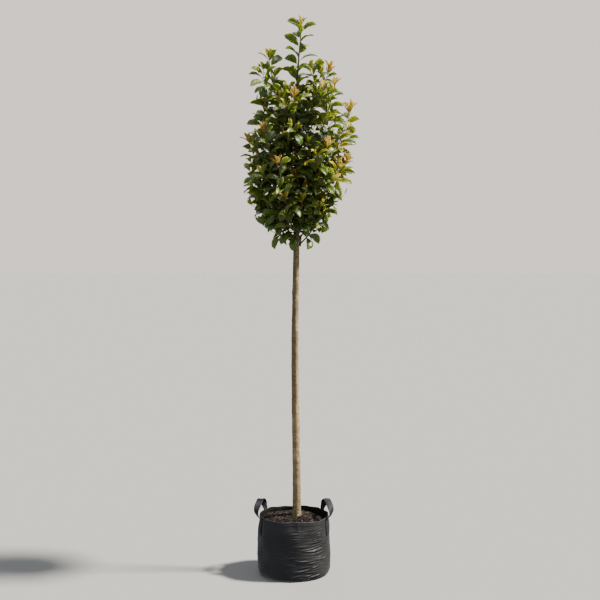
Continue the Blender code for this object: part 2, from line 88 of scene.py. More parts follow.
TRUNK_X = 0.010
TRUNK_SWAY = 0.004
TRUNK_TOP_Z = 2.47
TIP_Z = 2.805
LEADER_LEAN = 0.038
LEADER_LEAN_Z = 2.18
TRUNK_FLARE = 0.005
TRUNK_FLARE_HEIGHT = 0.035
TRUNK_SIDES = 12
TRUNK_TAPER = ((0.28, 0.0205), (1.64, 0.0155), (2.25, 0.0090), (TRUNK_TOP_Z, 0.0052), (TIP_Z, 0.0014))

BOUGH_SIDES = 5
BOUGH_BARE_LOW = 0.045
BOUGH_BARE_HIGH = 0.070
BOUGH_RADIUS = 0.0046
TIP_RADIUS = 0.0013

CROWN_LOW_Z = 1.65
CROWN_HIGH_Z = 2.20
CROWN_OUTLINE = ((1.60, 0.090), (1.66, 0.115), (1.74, 0.175), (1.85, 0.245), (2.00, 0.290), (2.35, 0.340))

# Where a bough leaves the trunk, its heading in degrees from the right, its spread, and its tip's height.
Bough = namedtuple("Bough", "name base azimuth reach top")

BOUGHS = (
    Bough("foot_right", 1.655, 348, 0.160, 1.900),
    Bough("foot_front", 1.668, 282, 0.150, 1.890),
    Bough("foot_left", 1.660, 196, 0.150, 1.880),
    Bough("foot_back_left", 1.675, 128, 0.155, 1.905),
    Bough("foot_back_right", 1.670, 55, 0.155, 1.900),
    Bough("low_right", 1.735, 352, 0.250, 2.085),
    Bough("low_front", 1.745, 246, 0.215, 2.065),
    Bough("low_left", 1.730, 175, 0.235, 2.040),
    Bough("low_back", 1.750, 92, 0.225, 2.080),
    Bough("wide_right", 1.860, 6, 0.276, 2.345),
    Bough("wide_left", 1.820, 184, 0.240, 2.180),
    Bough("front_right", 1.830, 312, 0.225, 2.150),
    Bough("front_left", 1.865, 222, 0.215, 2.225),
    Bough("back_right", 1.845, 44, 0.230, 2.210),
    Bough("back_left", 1.875, 136, 0.220, 2.240),
    Bough("high_right", 1.990, 338, 0.204, 2.455),
    Bough("high_left", 1.960, 170, 0.172, 2.360),
    Bough("high_front", 2.050, 266, 0.140, 2.390),
    Bough("high_back", 2.020, 86, 0.155, 2.430),
    Bough("top_right", 2.250, 9, 0.168, 2.535),
    Bough("top_left", 2.090, 189, 0.138, 2.590),
)

SPUR_COUNT = 5  # places tried, and one of them has no room
SPUR_LOW_Z = 1.70
SPUR_HIGH_Z = 2.36
SPUR_LENGTH = 0.100
SPUR_RADIUS = 0.0026
SPUR_FIRST_LEAF = 0.026
SPUR_HEADING = math.radians(20)

GOLDEN_ANGLE = math.radians(137.5)
SEED = 23
TRIES = 5
LEAF_TRIES = 8
REACH = 0.150
TWIG_CLEARANCE = 0.0048

# ---------------------------------------------------------------- the finer rule for twigs and leaves

CLEARANCE = 0.0009  # between the leaves of two masses
LEAF_LENGTH = 0.097
LEAF_WIDTH_SHARE = 0.46
LEAF_THICKNESS = 0.0018
LEAF_FOLD = 0.08
LEAF_ARCH = 0.15
LEAF_HOOK = 0.05
LEAF_SPACING = 0.0225
LEAF_DROOP_LOW = 1.0
LEAF_DROOP_HIGH = 0.16
LEAF_YOUNG_LIFT = 0.10
LEAF_SPREAD_OLD = 1.25
LEAF_SPREAD_YOUNG = 0.98
FACE_LEAN = Vector((0.0, -0.22, 0.0))  # the upper faces turn a little to the front
FIRST_LEAF = 0.010

LEADER_FOOT_Z = 2.30
LEADER_LEAF = 1.12  # its leaves are this much longer than the rest
LEADER_SPACING = 0.0175
TUFT_LEAVES = 5
TUFT_LENGTH = 0.056
TUFT_SPACING = 0.005

TWIG_SPACING = 0.052
TWIG_LENGTH = 0.145
TWIG_STRETCH = 0.64  # how far up the main limb the side twigs go
TWIG_RADIUS = 0.0019
TWIG_YOUTH = 0.30
TWIG_FIRST_LEAF = 0.018
FINE_TWIG_LENGTH = 0.062
FINE_TWIG_PLACES = (0.35, 0.62)  # how far up its twig each finer one stands
FINE_TWIG_RADIUS = 0.0013
FINE_TWIG_MIN = 0.075  # a shorter twig bears none
FINE_TWIG_REACH = 0.62  # how far out they stand, as a share of the crown's radius

UP = Vector((0, 0, 1))


# ---------------------------------------------------------------- curves


def mix(a, b, share):
    return a + (b - a) * share


def smooth(share):
    share = np.clip(share, 0.0, 1.0)
    return share * share * (3 - 2 * share)


def bell(x):
    """A smooth bump of height 1, which falls to about a third at x = 1 on either side."""
    return np.exp(-(x**2))


def wrap(angle):
    """The same angle between minus and plus half a turn."""
    return (angle + math.pi) % math.tau - math.pi


def step_through(table, x):
    """The value at x in a table of (x, value) pairs, with even steps between them."""
    for (low, first), (high, second) in zip(table, table[1:]):
        if x <= high:
            return mix(first, second, max(x - low, 0) / (high - low))
    return table[-1][1]


def polar(radius, azimuth, z=0.0):
    """A point by its distance from the upright axis, its heading and its height."""
    return Vector((radius * math.cos(azimuth), radius * math.sin(azimuth), z))


def bezier(a, b, c, d, count):
    """Points along a cubic curve, ends included."""
    points = []
    for i in range(count + 1):
        t = i / count
        s = 1 - t
        points.append(a * s**3 + b * (3 * s * s * t) + c * (3 * s * t * t) + d * t**3)
    return points


def trunk_centre(z):
    """The trunk's line: straight, with a slight sway, and a leader that leans to the right."""
    lean = 2 * LEADER_LEAN * float(smooth((z - LEADER_LEAN_Z) / (2 * (TIP_Z - LEADER_LEAN_Z))))
    x = TRUNK_X + TRUNK_SWAY * math.sin(4.2 * z) + lean
    return Vector((x, TRUNK_SWAY * math.sin(2.6 * z + 1.0), z))


def trunk_radius(z):
    flare = TRUNK_FLARE * math.exp(-max(z - TRUNK_TAPER[0][0], 0) / TRUNK_FLARE_HEIGHT)
    return step_through(TRUNK_TAPER, z) + flare


def crown_radius(z):
    return step_through(CROWN_OUTLINE, z)


class Limb:
    """A tapering limb along a line of points, which can be asked for any place on it."""

    def __init__(self, points, thick, thin):
        self.points = points
        self.thick, self.thin = thick, thin
        self.marks = [0.0]
        for a, b in zip(points, points[1:]):
            self.marks.append(self.marks[-1] + (b - a).length)
        self.length = self.marks[-1]

    def at(self, distance):
        """The point and the direction at this distance along the limb."""
        last = len(self.points) - 2
        for i in range(last + 1):
            if distance <= self.marks[i + 1] or i == last:
                a, b = self.points[i], self.points[i + 1]
                share = (distance - self.marks[i]) / (self.marks[i + 1] - self.marks[i])
                return a.lerp(b, share), (b - a).normalized()

    def radius(self, distance):
        return mix(self.thick, self.thin, distance / self.length)

    def part(self, start, end, count):
        """The stretch from start to end as a limb of its own, with count segments."""
        cuts = [mix(start, end, i / count) for i in range(count + 1)]
        return Limb([self.at(d)[0] for d in cuts], self.radius(start), self.radius(end))

    def widened(self, extra):
        return Limb(self.points, self.thick + extra, self.thin + extra)


# ---------------------------------------------------------------- simple shapes that take up room


def square_to(direction):
    """Two directions square to this one and to each other."""
    side = direction.cross(UP)
    if side.length < 0.05:
        side = direction.cross(Vector((0, 1, 0)))
    side.normalize()
    return side, direction.cross(side).normalized()


def direction_at(points, i):
    return (points[min(i + 1, len(points) - 1)] - points[max(i - 1, 0)]).normalized()


def joined_rings(rings, size):
    """The faces of a solid whose points come ring by ring, with a flat face at each end."""
    faces = []
    for i in range(rings - 1):
        for k in range(size):
            a, b = i * size + k, i * size + (k + 1) % size
            faces.append((a, b, b + size, a + size))
    faces.append(tuple(reversed(range(size))))
    faces.append(tuple(range((rings - 1) * size, rings * size)))
    return faces


def tube(points, radii, sides):
    """A closed round limb with flat ends, its rings carried along without twisting."""
    verts = []
    before = direction_at(points, 0)
    side = square_to(before)[0]
    for i, (point, radius) in enumerate(zip(points, radii)):
        along = direction_at(points, i)
        side = before.rotation_difference(along) @ side
        before = along
        verts += [point + Quaternion(along, math.tau * k / sides) @ side * radius for k in range(sides)]
    return verts, joined_rings(len(points), sides)


def limb_shape(limb, sides):
    return tube(limb.points, [limb.radius(mark) for mark in limb.marks], sides)


def trunk_shape(foot):
    """The room that the trunk takes up, from this height to its top."""
    steps = 14
    heights = [foot, foot + 0.015, foot + 0.040]
    heights += [mix(foot + 0.090, TRUNK_TOP_Z, i / steps) for i in range(steps + 1)]
    return tube([trunk_centre(z) for z in heights], [trunk_radius(z) for z in heights], TRUNK_SIDES)


def bough_line(bough):
    """A bough and its shoot as one limb from the trunk's line: out at a slant, then bending upright."""
    heading = math.radians(bough.azimuth)
    start = trunk_centre(bough.base)
    rise = bough.top - bough.base
    tip = start + polar(bough.reach, heading, rise)
    first = start + polar(bough.reach * 0.45, heading, rise * 0.22)
    second = tip - polar(bough.reach * 0.22, heading, rise * 0.42)
    return Limb(bezier(start, first, second, tip, 14), BOUGH_RADIUS, TIP_RADIUS)


def bare_length(bough):
    """How far along a bough its foliage starts."""
    height = (bough.base - CROWN_LOW_Z) / (CROWN_HIGH_Z - CROWN_LOW_Z)
    return trunk_radius(bough.base) + mix(BOUGH_BARE_LOW, BOUGH_BARE_HIGH, min(height, 1))


def spur_line(base, heading):
    """A short side shoot straight on the trunk."""
    start = trunk_centre(base)
    reach = SPUR_LENGTH + trunk_radius(base)
    bend = start + polar(reach * 0.6, heading, reach * 0.30)
    tip = start + polar(reach * 0.85, heading, reach * 0.75)
    return Limb(bezier(start, bend, bend, tip, 5), SPUR_RADIUS, TIP_RADIUS)


def leader_line():
    """The leader shoot, from the top of the trunk to the tuft at its tip."""
    heights = [mix(TRUNK_TOP_Z + GAP, TIP_Z - TUFT_LENGTH, i / 8) for i in range(9)]
    return Limb([trunk_centre(z) for z in heights], trunk_radius(TRUNK_TOP_Z), TIP_RADIUS)


def leader_foot():
    """The top of the trunk, below the leader shoot, which bears leaves too."""
    heights = [mix(LEADER_FOOT_Z, TRUNK_TOP_Z, i / 4) for i in range(5)]
    return Limb([trunk_centre(z) for z in heights], trunk_radius(LEADER_FOOT_Z), trunk_radius(TRUNK_TOP_Z))


# ---------------------------------------------------------------- the rule for twigs and leaves

Leaf = namedtuple("Leaf", "root along up length age tuft")


def leaf_shape(leaf, extra=0.0):
    """The room that a leaf takes up: eight faces, folded along the midrib and arched over."""
    side = leaf.along.cross(leaf.up).normalized()
    half = leaf.length * LEAF_WIDTH_SHARE / 2 + extra
    middle = leaf.root + leaf.along * leaf.length * 0.52 + leaf.up * leaf.length * LEAF_ARCH
    margin = middle + leaf.up * leaf.length * LEAF_FOLD - leaf.along * leaf.length * 0.03
    tip = leaf.root + leaf.along * (leaf.length + extra) - leaf.up * leaf.length * LEAF_HOOK
    thick = leaf.up * (LEAF_THICKNESS / 2 + extra)
    verts = [leaf.root, margin - side * half, tip, margin + side * half, middle + thick, middle - thick]
    faces = [(k, (k + 1) % 4, 4) for k in range(4)] + [((k + 1) % 4, k, 5) for k in range(4)]
    return verts, faces


def without_root(shape):
    """A leaf's room with its root drawn in, clear of the twig that bears it."""
    verts, faces = shape
    first = verts[0].lerp((verts[4] + verts[5]) / 2, 0.30)
    return [first, *verts[1:]], faces


def without_foot(limb):
    """A twig's room without its first stretch, clear of the limb that bears it."""
    return tube(limb.points[1:], [limb.radius(mark) for mark in limb.marks[1:]], 4)


class Item:
    """Something that takes up room: whole for other masses, and clear of its root for its own."""

    def __init__(self, shape, mass="", clear=None):
        self.mass = mass
        self.whole = BVHTree.FromPolygons(*shape)
        self.clear = BVHTree.FromPolygons(*clear) if clear else self.whole
        self.centre = sum(shape[0], Vector()) / len(shape[0])
        self.reach = max((v - self.centre).length for v in shape[0])


def free_of(items, whole, mass, clear=None, near_wood=False):
    """True if a shape touches no item of another mass, and its clear form no item of its own mass.

    A leaf of a tuft, near_wood, may touch its own mass's wood and its neighbours in the tuft.
    """
    item = Item(whole, mass, clear)
    for other in items:
        if (other.centre - item.centre).length > other.reach + item.reach:
            continue
        if other.mass != mass:
            touching = other.whole.overlap(item.whole)
        elif near_wood or not clear:
            touching = False
        else:
            touching = other.clear.overlap(item.clear)
        if touching:
            return False
    return True


class Mass:
    """One mass of foliage: a main limb, its side twigs, their finer twigs, and the leaves."""

    def __init__(self, name, limb, seed):
        self.name, self.limb = name, limb
        self.random = random.Random(seed)
        self.twigs = []
        self.fine_twigs = []
        self.leaves = []

    def holds(self, points):
        """True if every point is near the main limb and inside the crown's outline."""
        for point in points:
            if min((point - p).length for p in self.limb.points) > REACH:
                return False
            if (point - trunk_centre(point.z)).length > crown_radius(point.z):
                return False
            if not all(FRAME_BOUNDS[0][k] < point[k] < FRAME_BOUNDS[1][k] for k in range(3)):
                return False
        return True


def twig_at(root, along, out, length, radius):
    """A side twig that leaves at a slant and bends upright."""
    aim = (along * 0.60 + out * 0.80 + UP * 0.1).normalized()
    bend = root + aim * length * 0.50
    tip = bend + (aim + UP * 0.85).normalized() * length * 0.50
    return Limb(bezier(root, root + aim * length * 0.3, bend, tip, 4), radius, TIP_RADIUS * 0.8)


def leaf_at(rng, root, along, out, share, short=1.0):
    """A leaf that stands out from its twig: young ones point up the shoot, old ones arch out and hang."""
    height = float(smooth((root.z - CROWN_LOW_Z) / (CROWN_HIGH_Z - CROWN_LOW_Z)))
    droop = mix(mix(LEAF_DROOP_LOW, LEAF_DROOP_HIGH, height), -LEAF_YOUNG_LIFT, share)
    spread = mix(LEAF_SPREAD_OLD, LEAF_SPREAD_YOUNG, share) + rng.uniform(-0.12, 0.12)
    aim = along * math.cos(spread) + out * math.sin(spread) - UP * droop * rng.uniform(0.6, 1.3)
    aim.normalize()
    up = UP + out * rng.uniform(-0.10, 0.45) + aim.cross(UP) * rng.uniform(-1.05, 1.05) + FACE_LEAN
    up = (up - aim * up.dot(aim)).normalized()
    length = LEAF_LENGTH * short * rng.uniform(0.80, 1.06) * mix(1.0, 0.90, share)
    return Leaf(root, aim, up, length, share, False)


def tuft_leaf_at(rng, root, along, out, index):
    """A small leaf at the end of a shoot, nearly upright and cupped round it."""
    aim = (along + out * rng.uniform(0.42, 0.78) * (0.75 + 0.30 * index) + UP * 0.2).normalized()
    up = (aim * out.dot(aim) - out).normalized()
    return Leaf(root, aim, up, TUFT_LENGTH * rng.uniform(0.82, 1.12) * (0.84 + 0.09 * index), 1.0, True)


def turned_out(along, angle):
    """The direction square to a limb at this angle round it."""
    return Quaternion(along, angle) @ square_to(along)[0]


TwigSize = namedtuple("TwigSize", "length spread radius clearance")


def try_twig(mass, items, twigs, start, angle, size):
    """Tries a few headings for a twig from a place on a limb, and returns the last heading tried."""
    root, along = start
    for _ in range(TRIES):
        angle += GOLDEN_ANGLE
        length = size.length * mass.random.uniform(*size.spread)
        twig = twig_at(root, along, turned_out(along, angle), length, size.radius)
        wide = limb_shape(twig.widened(size.clearance), 4)
        if mass.holds(twig.points) and free_of(items, wide, mass.name):
            twigs.append(twig)
            items.append(Item(limb_shape(twig, 4), mass.name, without_foot(twig)))
            break
    return angle


def grow_twigs(mass, items):
    """Side twigs up the main limb, each turned from the last by the golden angle."""
    limb = mass.limb
    angle = mass.random.uniform(0, math.tau)
    distance = TWIG_SPACING * 0.35
    while distance < limb.length * TWIG_STRETCH:
        length = TWIG_LENGTH * mix(1.05, 0.70, distance / limb.length)
        size = TwigSize(length, (0.75, 1.15), TWIG_RADIUS, TWIG_CLEARANCE)
        angle = try_twig(mass, items, mass.twigs, limb.at(distance), angle, size)
        distance += TWIG_SPACING * mass.random.uniform(0.85, 1.15)


def grow_fine_twigs(mass, items):
    """Shorter twigs on the side twigs."""
    size = TwigSize(FINE_TWIG_LENGTH, (0.7, 1.1), FINE_TWIG_RADIUS, TWIG_CLEARANCE / 2)
    for twig in mass.twigs:
        if twig.length < FINE_TWIG_MIN:
            continue
        angle = mass.random.uniform(0, math.tau)
        for place in FINE_TWIG_PLACES:
            start = twig.at(twig.length * place)
            if (start[0] - trunk_centre(start[0].z)).length > FINE_TWIG_REACH * crown_radius(start[0].z):
                continue
            angle = try_twig(mass, items, mass.fine_twigs, start, angle, size)


def keep_leaf(mass, leaf, items, near_wood=False):
    """Adds the leaf if it is within reach and touches nothing, and says whether it did."""
    shape = leaf_shape(leaf)
    clear = without_root(shape)
    if not mass.holds(shape[0]):
        return False
    if not free_of(items, leaf_shape(leaf, CLEARANCE), mass.name, clear, near_wood):
        return False
    mass.leaves.append(leaf)
    items.append(Item(shape, mass.name, clear))
    return True


def grow_leaves(mass, limb, items, first, youth, tuft, short=1.0, spacing=LEAF_SPACING):
    """Leaves up one limb or twig by the golden angle, and small upright ones at its tip."""
    rng = mass.random
    angle = rng.uniform(0, math.tau)
    for index in range(tuft):
        root, along = limb.at(limb.length - 0.002 - index * TUFT_SPACING)
        angle += GOLDEN_ANGLE
        leaf = tuft_leaf_at(rng, root, along, turned_out(along, angle), index)
        for shrink in (1.0, 0.85, 0.7):
            shorter = leaf._replace(length=leaf.length * shrink)
            if keep_leaf(mass, shorter, items, near_wood=True):
                break
    distance = first
    while distance < limb.length - (tuft - 1) * TUFT_SPACING:
        root, along = limb.at(distance)
        share = mix(youth, 1.0, distance / limb.length)
        for _ in range(LEAF_TRIES):
            angle += GOLDEN_ANGLE
            if keep_leaf(mass, leaf_at(rng, root, along, turned_out(along, angle), share, short), items):
                break
        distance += spacing * rng.uniform(0.85, 1.15)


def plan_masses(items):
    """The masses with their main limbs only: one on each bough, the leader, and the spurs."""
    masses = []
    for index, bough in enumerate(BOUGHS):
        line = bough_line(bough)
        limb = line.part(bare_length(bough) + GAP, line.length, 7)
        masses.append(Mass("foliage_" + bough.name, limb, SEED + index))
    masses.append(Mass("foliage_leader", leader_line(), SEED + 100))
    items += [Item(limb_shape(mass.limb, 4), mass.name) for mass in masses]
    heading = SPUR_HEADING
    for index in range(SPUR_COUNT):
        base = mix(SPUR_LOW_Z, SPUR_HIGH_Z, index / (SPUR_COUNT - 1))
        for _ in range(TRIES):
            heading += GOLDEN_ANGLE
            limb = spur_line(base, heading)
            outside = limb.part(trunk_radius(base) / 2, limb.length, 5)
            if free_of(items[1:], limb_shape(outside.widened(TWIG_CLEARANCE), 4), "spur"):
                masses.append(Mass(f"foliage_spur_{len(masses) - len(BOUGHS)}", limb, SEED + 200 + index))
                items.append(Item(limb_shape(limb, 4), masses[-1].name))
                break
    return masses


def grow_crown():
    """Every mass of the crown, with its twigs and leaves placed."""
    foot = BAG_HEIGHT - COMPOST_CROWN_DEPTH + GAP
    limbs = [trunk_shape(foot)]
    for bough in BOUGHS:
        limbs.append(limb_shape(bough_line(bough).part(0.0, bare_length(bough), 3), BOUGH_SIDES))
    items = [Item(shape) for shape in limbs]
    masses = plan_masses(items)
    for mass in masses[: len(BOUGHS)]:
        grow_twigs(mass, items)
    for mass in masses[: len(BOUGHS)]:
        grow_fine_twigs(mass, items)
    for mass in masses:
        first = SPUR_FIRST_LEAF if "spur" in mass.name else FIRST_LEAF
        if mass.name != "foliage_leader":
            grow_leaves(mass, mass.limb, items, first, 0.0, TUFT_LEAVES)
            continue
        grow_leaves(mass, mass.limb, items, first, 0.15, TUFT_LEAVES, LEADER_LEAF, LEADER_SPACING)
        grow_leaves(mass, leader_foot(), items[1:], 0.0, 0.2, 0, 1.0, LEADER_SPACING)
    for mass in masses:
        for twig in mass.twigs:
            grow_leaves(mass, twig, items, TWIG_FIRST_LEAF, TWIG_YOUTH, 2)
    for mass in masses:
        for twig in mass.fine_twigs:
            grow_leaves(mass, twig, items, TWIG_FIRST_LEAF * 0.7, TWIG_YOUTH, 1, 0.88)
    return masses


# ---------------------------------------------------------------- meshes from arrays


class Soup:
    """Many small shapes gathered into one mesh, each face with its material slot."""

    def __init__(self):
        self.points, self.uvs = [], []
        self.faces = {3: [], 4: []}
        self.slots = {3: [], 4: []}
        self.count = 0

    def add(self, points, faces, slots=0, uvs=None):
        """points is (n, 3), and faces is one array of triangles or quads, or a list of such arrays."""
        points = np.asarray(points, float)
        faces = faces if isinstance(faces, list) else [faces]
        slots = slots if isinstance(slots, list) else [slots] * len(faces)
        for group, slot in zip(faces, slots):
            group = np.asarray(group, np.int64)
            self.faces[group.shape[1]].append(group + self.count)
            self.slots[group.shape[1]].append(np.broadcast_to(slot, len(group)))
        self.points.append(points)
        self.uvs.append(np.zeros((len(points), 2)) if uvs is None else np.asarray(uvs, float))
        self.count += len(points)

    def build(self, name, materials, flat=False):
        """One object with everything gathered so far."""
        parts = [(size, np.concatenate(self.faces[size])) for size in (4, 3) if self.faces[size]]
        slots = np.concatenate([np.concatenate(self.slots[size]) for size, _ in parts])
        loops = np.concatenate([faces.ravel() for _, faces in parts])
        sizes = np.concatenate([np.full(len(faces), size) for size, faces in parts])
        starts = np.concatenate([[0], np.cumsum(sizes)[:-1]])
        points = np.concatenate(self.points)
        mesh = bpy.data.meshes.new(name)
        mesh.vertices.add(len(points))
        mesh.vertices.foreach_set("co", points.ravel().astype(np.float32))
        mesh.loops.add(len(loops))
        mesh.loops.foreach_set("vertex_index", loops.astype(np.int32))
        mesh.polygons.add(len(sizes))
        mesh.polygons.foreach_set("loop_start", starts.astype(np.int32))
        mesh.polygons.foreach_set("material_index", slots.astype(np.int32))
        mesh.polygons.foreach_set("use_smooth", np.full(len(sizes), not flat))
        mesh.update(calc_edges=True)
        layer = mesh.uv_layers.new(name="UVMap")
        layer.data.foreach_set("uv", np.concatenate(self.uvs)[loops].ravel().astype(np.float32))
        for finish in materials:
            mesh.materials.append(finish)
        obj = bpy.data.objects.new(name, mesh)
        bpy.context.scene.collection.objects.link(obj)
        return obj


def circle(angle, radius, z):
    """Points at these angles, this far from the upright axis and at this height."""
    return np.stack([radius * np.cos(angle), radius * np.sin(angle), np.full_like(angle, z)], axis=-1)


def ring_quads(rings, size):
    """The quads between rings of points that close on themselves."""
    ring, side = np.meshgrid(np.arange(rings - 1), np.arange(size), indexing="ij")
    a = ring * size + side
    b = ring * size + (side + 1) % size
    return np.stack([a, b, b + size, a + size], axis=-1).reshape(-1, 4)


def fan(centre, ring, turned=False):
    """Triangles from a centre point to a closed ring of points."""
    ring = np.asarray(ring)
    after = np.roll(ring, -1)
    pair = (after, ring) if turned else (ring, after)
    return np.stack([np.full(len(ring), centre), *pair], axis=-1)


def closed_tube(rings):
    """Points, quads and end triangles of a closed solid from an array of rings, (rings, size, 3)."""
    count, size = rings.shape[:2]
    last = count * size
    points = np.concatenate([rings.reshape(-1, 3), [rings[0].mean(0)], [rings[-1].mean(0)]])
    ends = [fan(last, np.arange(size), turned=True), fan(last + 1, np.arange(last - size, last))]
    return points, ring_quads(count, size), np.concatenate(ends)


def tube_uvs(around, along):
    """Texture places for a closed tube's points, from the distances round each ring and along the rings."""
    across = np.append(np.tile(around, len(along)), [0, 0])
    return np.stack([across, np.append(np.repeat(along, len(around)), [0, 0])], axis=-1)


def limb_rings(points, radii, sides):
    """Rings of points round a line, carried along without twisting."""
    verts, _ = tube(points, radii, sides)
    return np.array(verts).reshape(len(points), sides, 3)


def rounded(a, b, c, d, t):
    """The point at share t of the way from b to c, on a smooth line that comes from a and goes on to d."""
    return 0.5 * (2 * b + (c - a) * t + (2 * a - 5 * b + 4 * c - d) * t**2 + (3 * b - a - 3 * c + d) * t**3)


def resampled(points, step):
    """The same line through the points, rounded at them and cut into steps of about this length."""
    made = []
    ends = [points[0] * 2 - points[1], *points, points[-1] * 2 - points[-2]]
    for a, b, c, d in zip(ends, ends[1:], ends[2:], ends[3:]):
        count = max(round((c - b).length / step), 1)
        made += [rounded(a, b, c, d, i / count) for i in range(count)]
    return [*made, points[-1]]


def roughness_at(points, scale, octaves=3, seed=0.0):
    """Smooth random heights from about -1 to 1 at each point, with features of about 1 / scale."""
    shift = Vector((seed, seed * 1.7, -seed))
    return np.array([noise.fractal(Vector(p) * scale + shift, 0.9, 2.1, octaves) for p in points])


# ---------------------------------------------------------------- materials


class Finish:
    """A Principled material and short calls for the nodes that feed it."""

    def __init__(self, name, colour, roughness, **inputs):
        self.material = bpy.data.materials.new(name)
        self.material.use_nodes = True
        self.tree = self.material.node_tree
        self.shader = self.tree.nodes["Principled BSDF"]
        self.set("Base Color", (*colour, 1))
        self.set("Roughness", roughness)
        for socket, value in inputs.items():
            self.set(socket.replace("_", " "), value)

    def set(self, socket, value):
        """Sets a socket of the shader to a value, or links it to a node's output."""
        self.put(self.shader.inputs[socket], value)

    def put(self, socket, value):
        if isinstance(value, bpy.types.NodeSocket):
            self.tree.links.new(value, socket)
        else:
            socket.default_value = value

    def node(self, kind, inputs, output, **settings):
        """Adds a node with these inputs and settings, and gives one of its outputs."""
        made = self.tree.nodes.new("ShaderNode" + kind)
        for name, value in settings.items():
            setattr(made, name, value)
        for socket, value in inputs.items():
            self.put(made.inputs[socket], value)
        return made.outputs[output]

    def place(self, stretch=(1, 1, 1), kind="Object"):
        """Coordinates on the piece, stretched along its axes."""
        return self.node("Mapping", {"Vector": self.node("TexCoord", {}, kind), "Scale": stretch}, "Vector")

    def axis(self, name, kind="Object"):
        """One of the coordinates on the piece."""
        return self.node("SeparateXYZ", {0: self.node("TexCoord", {}, kind)}, name)

    def noise(self, place, scale, detail=3.0, roughness=0.5):
        inputs = {"Vector": place, "Scale": scale, "Detail": detail, "Roughness": roughness}
        return self.node("TexNoise", inputs, "Fac")

    def wave(self, place, scale, direction, distortion=0.0):
        inputs = {"Vector": place, "Scale": scale, "Distortion": distortion}
        return self.node("TexWave", inputs, "Fac", bands_direction=direction)

    def ramp(self, value, *stops):
        """Maps a value through stops of (position, number or colour)."""
        colour_out = self.node("ValToRGB", {"Fac": value}, "Color")
        elements = colour_out.node.color_ramp.elements
        while len(elements) < len(stops):
            elements.new(0.5)
        for element, (position, colour) in zip(elements, stops):
            element.position = position
            element.color = (*colour, 1) if isinstance(colour, tuple) else (colour, colour, colour, 1)
        return colour_out

    def blend(self, share, first, tint):
        """The first colour with this share of a plain tint."""
        return self.node("Mix", {0: share, 6: first, 7: (*tint, 1)}, 2, data_type="RGBA")

    def maths(self, operation, first, second=0.0):
        return self.node("Math", {0: first, 1: second}, 0, operation=operation)

    def bump(self, height, strength, distance, normal=None):
        """The surface's normal with this height in relief, on top of another normal where one is given."""
        inputs = {"Strength": strength, "Distance": distance, "Height": height}
        if normal is not None:
            inputs["Normal"] = normal
        return self.node("Bump", inputs, "Normal")


def fabric_finish():
    """Black woven plastic cloth, faintly clouded and dusty."""
    made = Finish(
        "bag_fabric", (0.020, 0.020, 0.022), 0.5,
        Sheen_Weight=0.06, Sheen_Roughness=0.45, Specular_IOR_Level=0.35,
    )
    cloth, place = made.place(kind="UV"), made.place()
    weave = made.maths("MULTIPLY", made.wave(cloth, 210.0, "X"), made.wave(cloth, 210.0, "Y"))
    cloud = made.noise(place, 7.0, 4.0, 0.6)
    dust = made.noise(place, 60.0, 5.0, 0.7)
    shade = made.ramp(cloud, (0.30, (0.0130, 0.0124, 0.0127)), (0.75, (0.0290, 0.0268, 0.0260)))
    specks = made.ramp(dust, (0.60, 0.0), (0.78, 0.35))
    made.set("Base Color", made.blend(specks, shade, (0.044, 0.037, 0.031)))
    made.set("Roughness", made.ramp(made.noise(place, 26.0, 4.0), (0.3, 0.42), (0.7, 0.60)))
    fine = made.bump(weave, 0.35, 0.0004)
    made.set("Normal", made.bump(made.noise(place, 120.0, 3.0), 0.18, 0.0012, fine))
    return made.material


def lining_finish():
    """The bag's unseen inner face."""
    made = Finish("bag_lining", (0.010, 0.010, 0.011), 0.62, Specular_IOR_Level=0.3)
    made.set("Normal", made.bump(made.noise(made.place(), 150.0, 3.0), 0.2, 0.001))
    return made.material


def webbing_finish():
    """The straps' ribbed webbing."""
    made = Finish(
        "strap_webbing", (0.020, 0.022, 0.028), 0.62,
        Sheen_Weight=0.04, Sheen_Roughness=0.4, Specular_IOR_Level=0.25,
    )
    cloth = made.place(kind="UV")
    ribs = made.maths("MULTIPLY", made.wave(cloth, 150.0, "X"), made.wave(cloth, 260.0, "Y", 0.6))
    shade = made.noise(made.place(), 30.0, 4.0)
    made.set("Base Color", made.ramp(shade, (0.3, (0.009, 0.010, 0.014)), (0.75, (0.018, 0.019, 0.026))))
    made.set("Normal", made.bump(ribs, 0.45, 0.0005))
    return made.material


def thread_finish():
    """The stitches' twisted thread."""
    made = Finish("stitching", (0.030, 0.030, 0.032), 0.45)
    made.set("Normal", made.bump(made.wave(made.place(), 900.0, "DIAGONAL"), 0.3, 0.0002))
    return made.material


# The bark's marks: each noise's stretch along the trunk, scale, detail and roughness, the values between
# which it comes in, how much of it shows, and its colour.
BARK_MARKS = {
    "rings": (9.0, 30.0, 4.0, 0.6, 0.50, 0.64, 0.75, (0.210, 0.155, 0.085)),
    "streaks": (0.12, 190.0, 3.0, 0.6, 0.54, 0.72, 0.45, (0.130, 0.098, 0.056)),
    "lenticels": (3.6, 95.0, 2.0, 0.5, 0.62, 0.68, 0.85, (0.640, 0.520, 0.340)),
    "stains": (2.6, 60.0, 5.0, 0.7, 0.54, 0.64, 0.85, (0.075, 0.058, 0.034)),
}


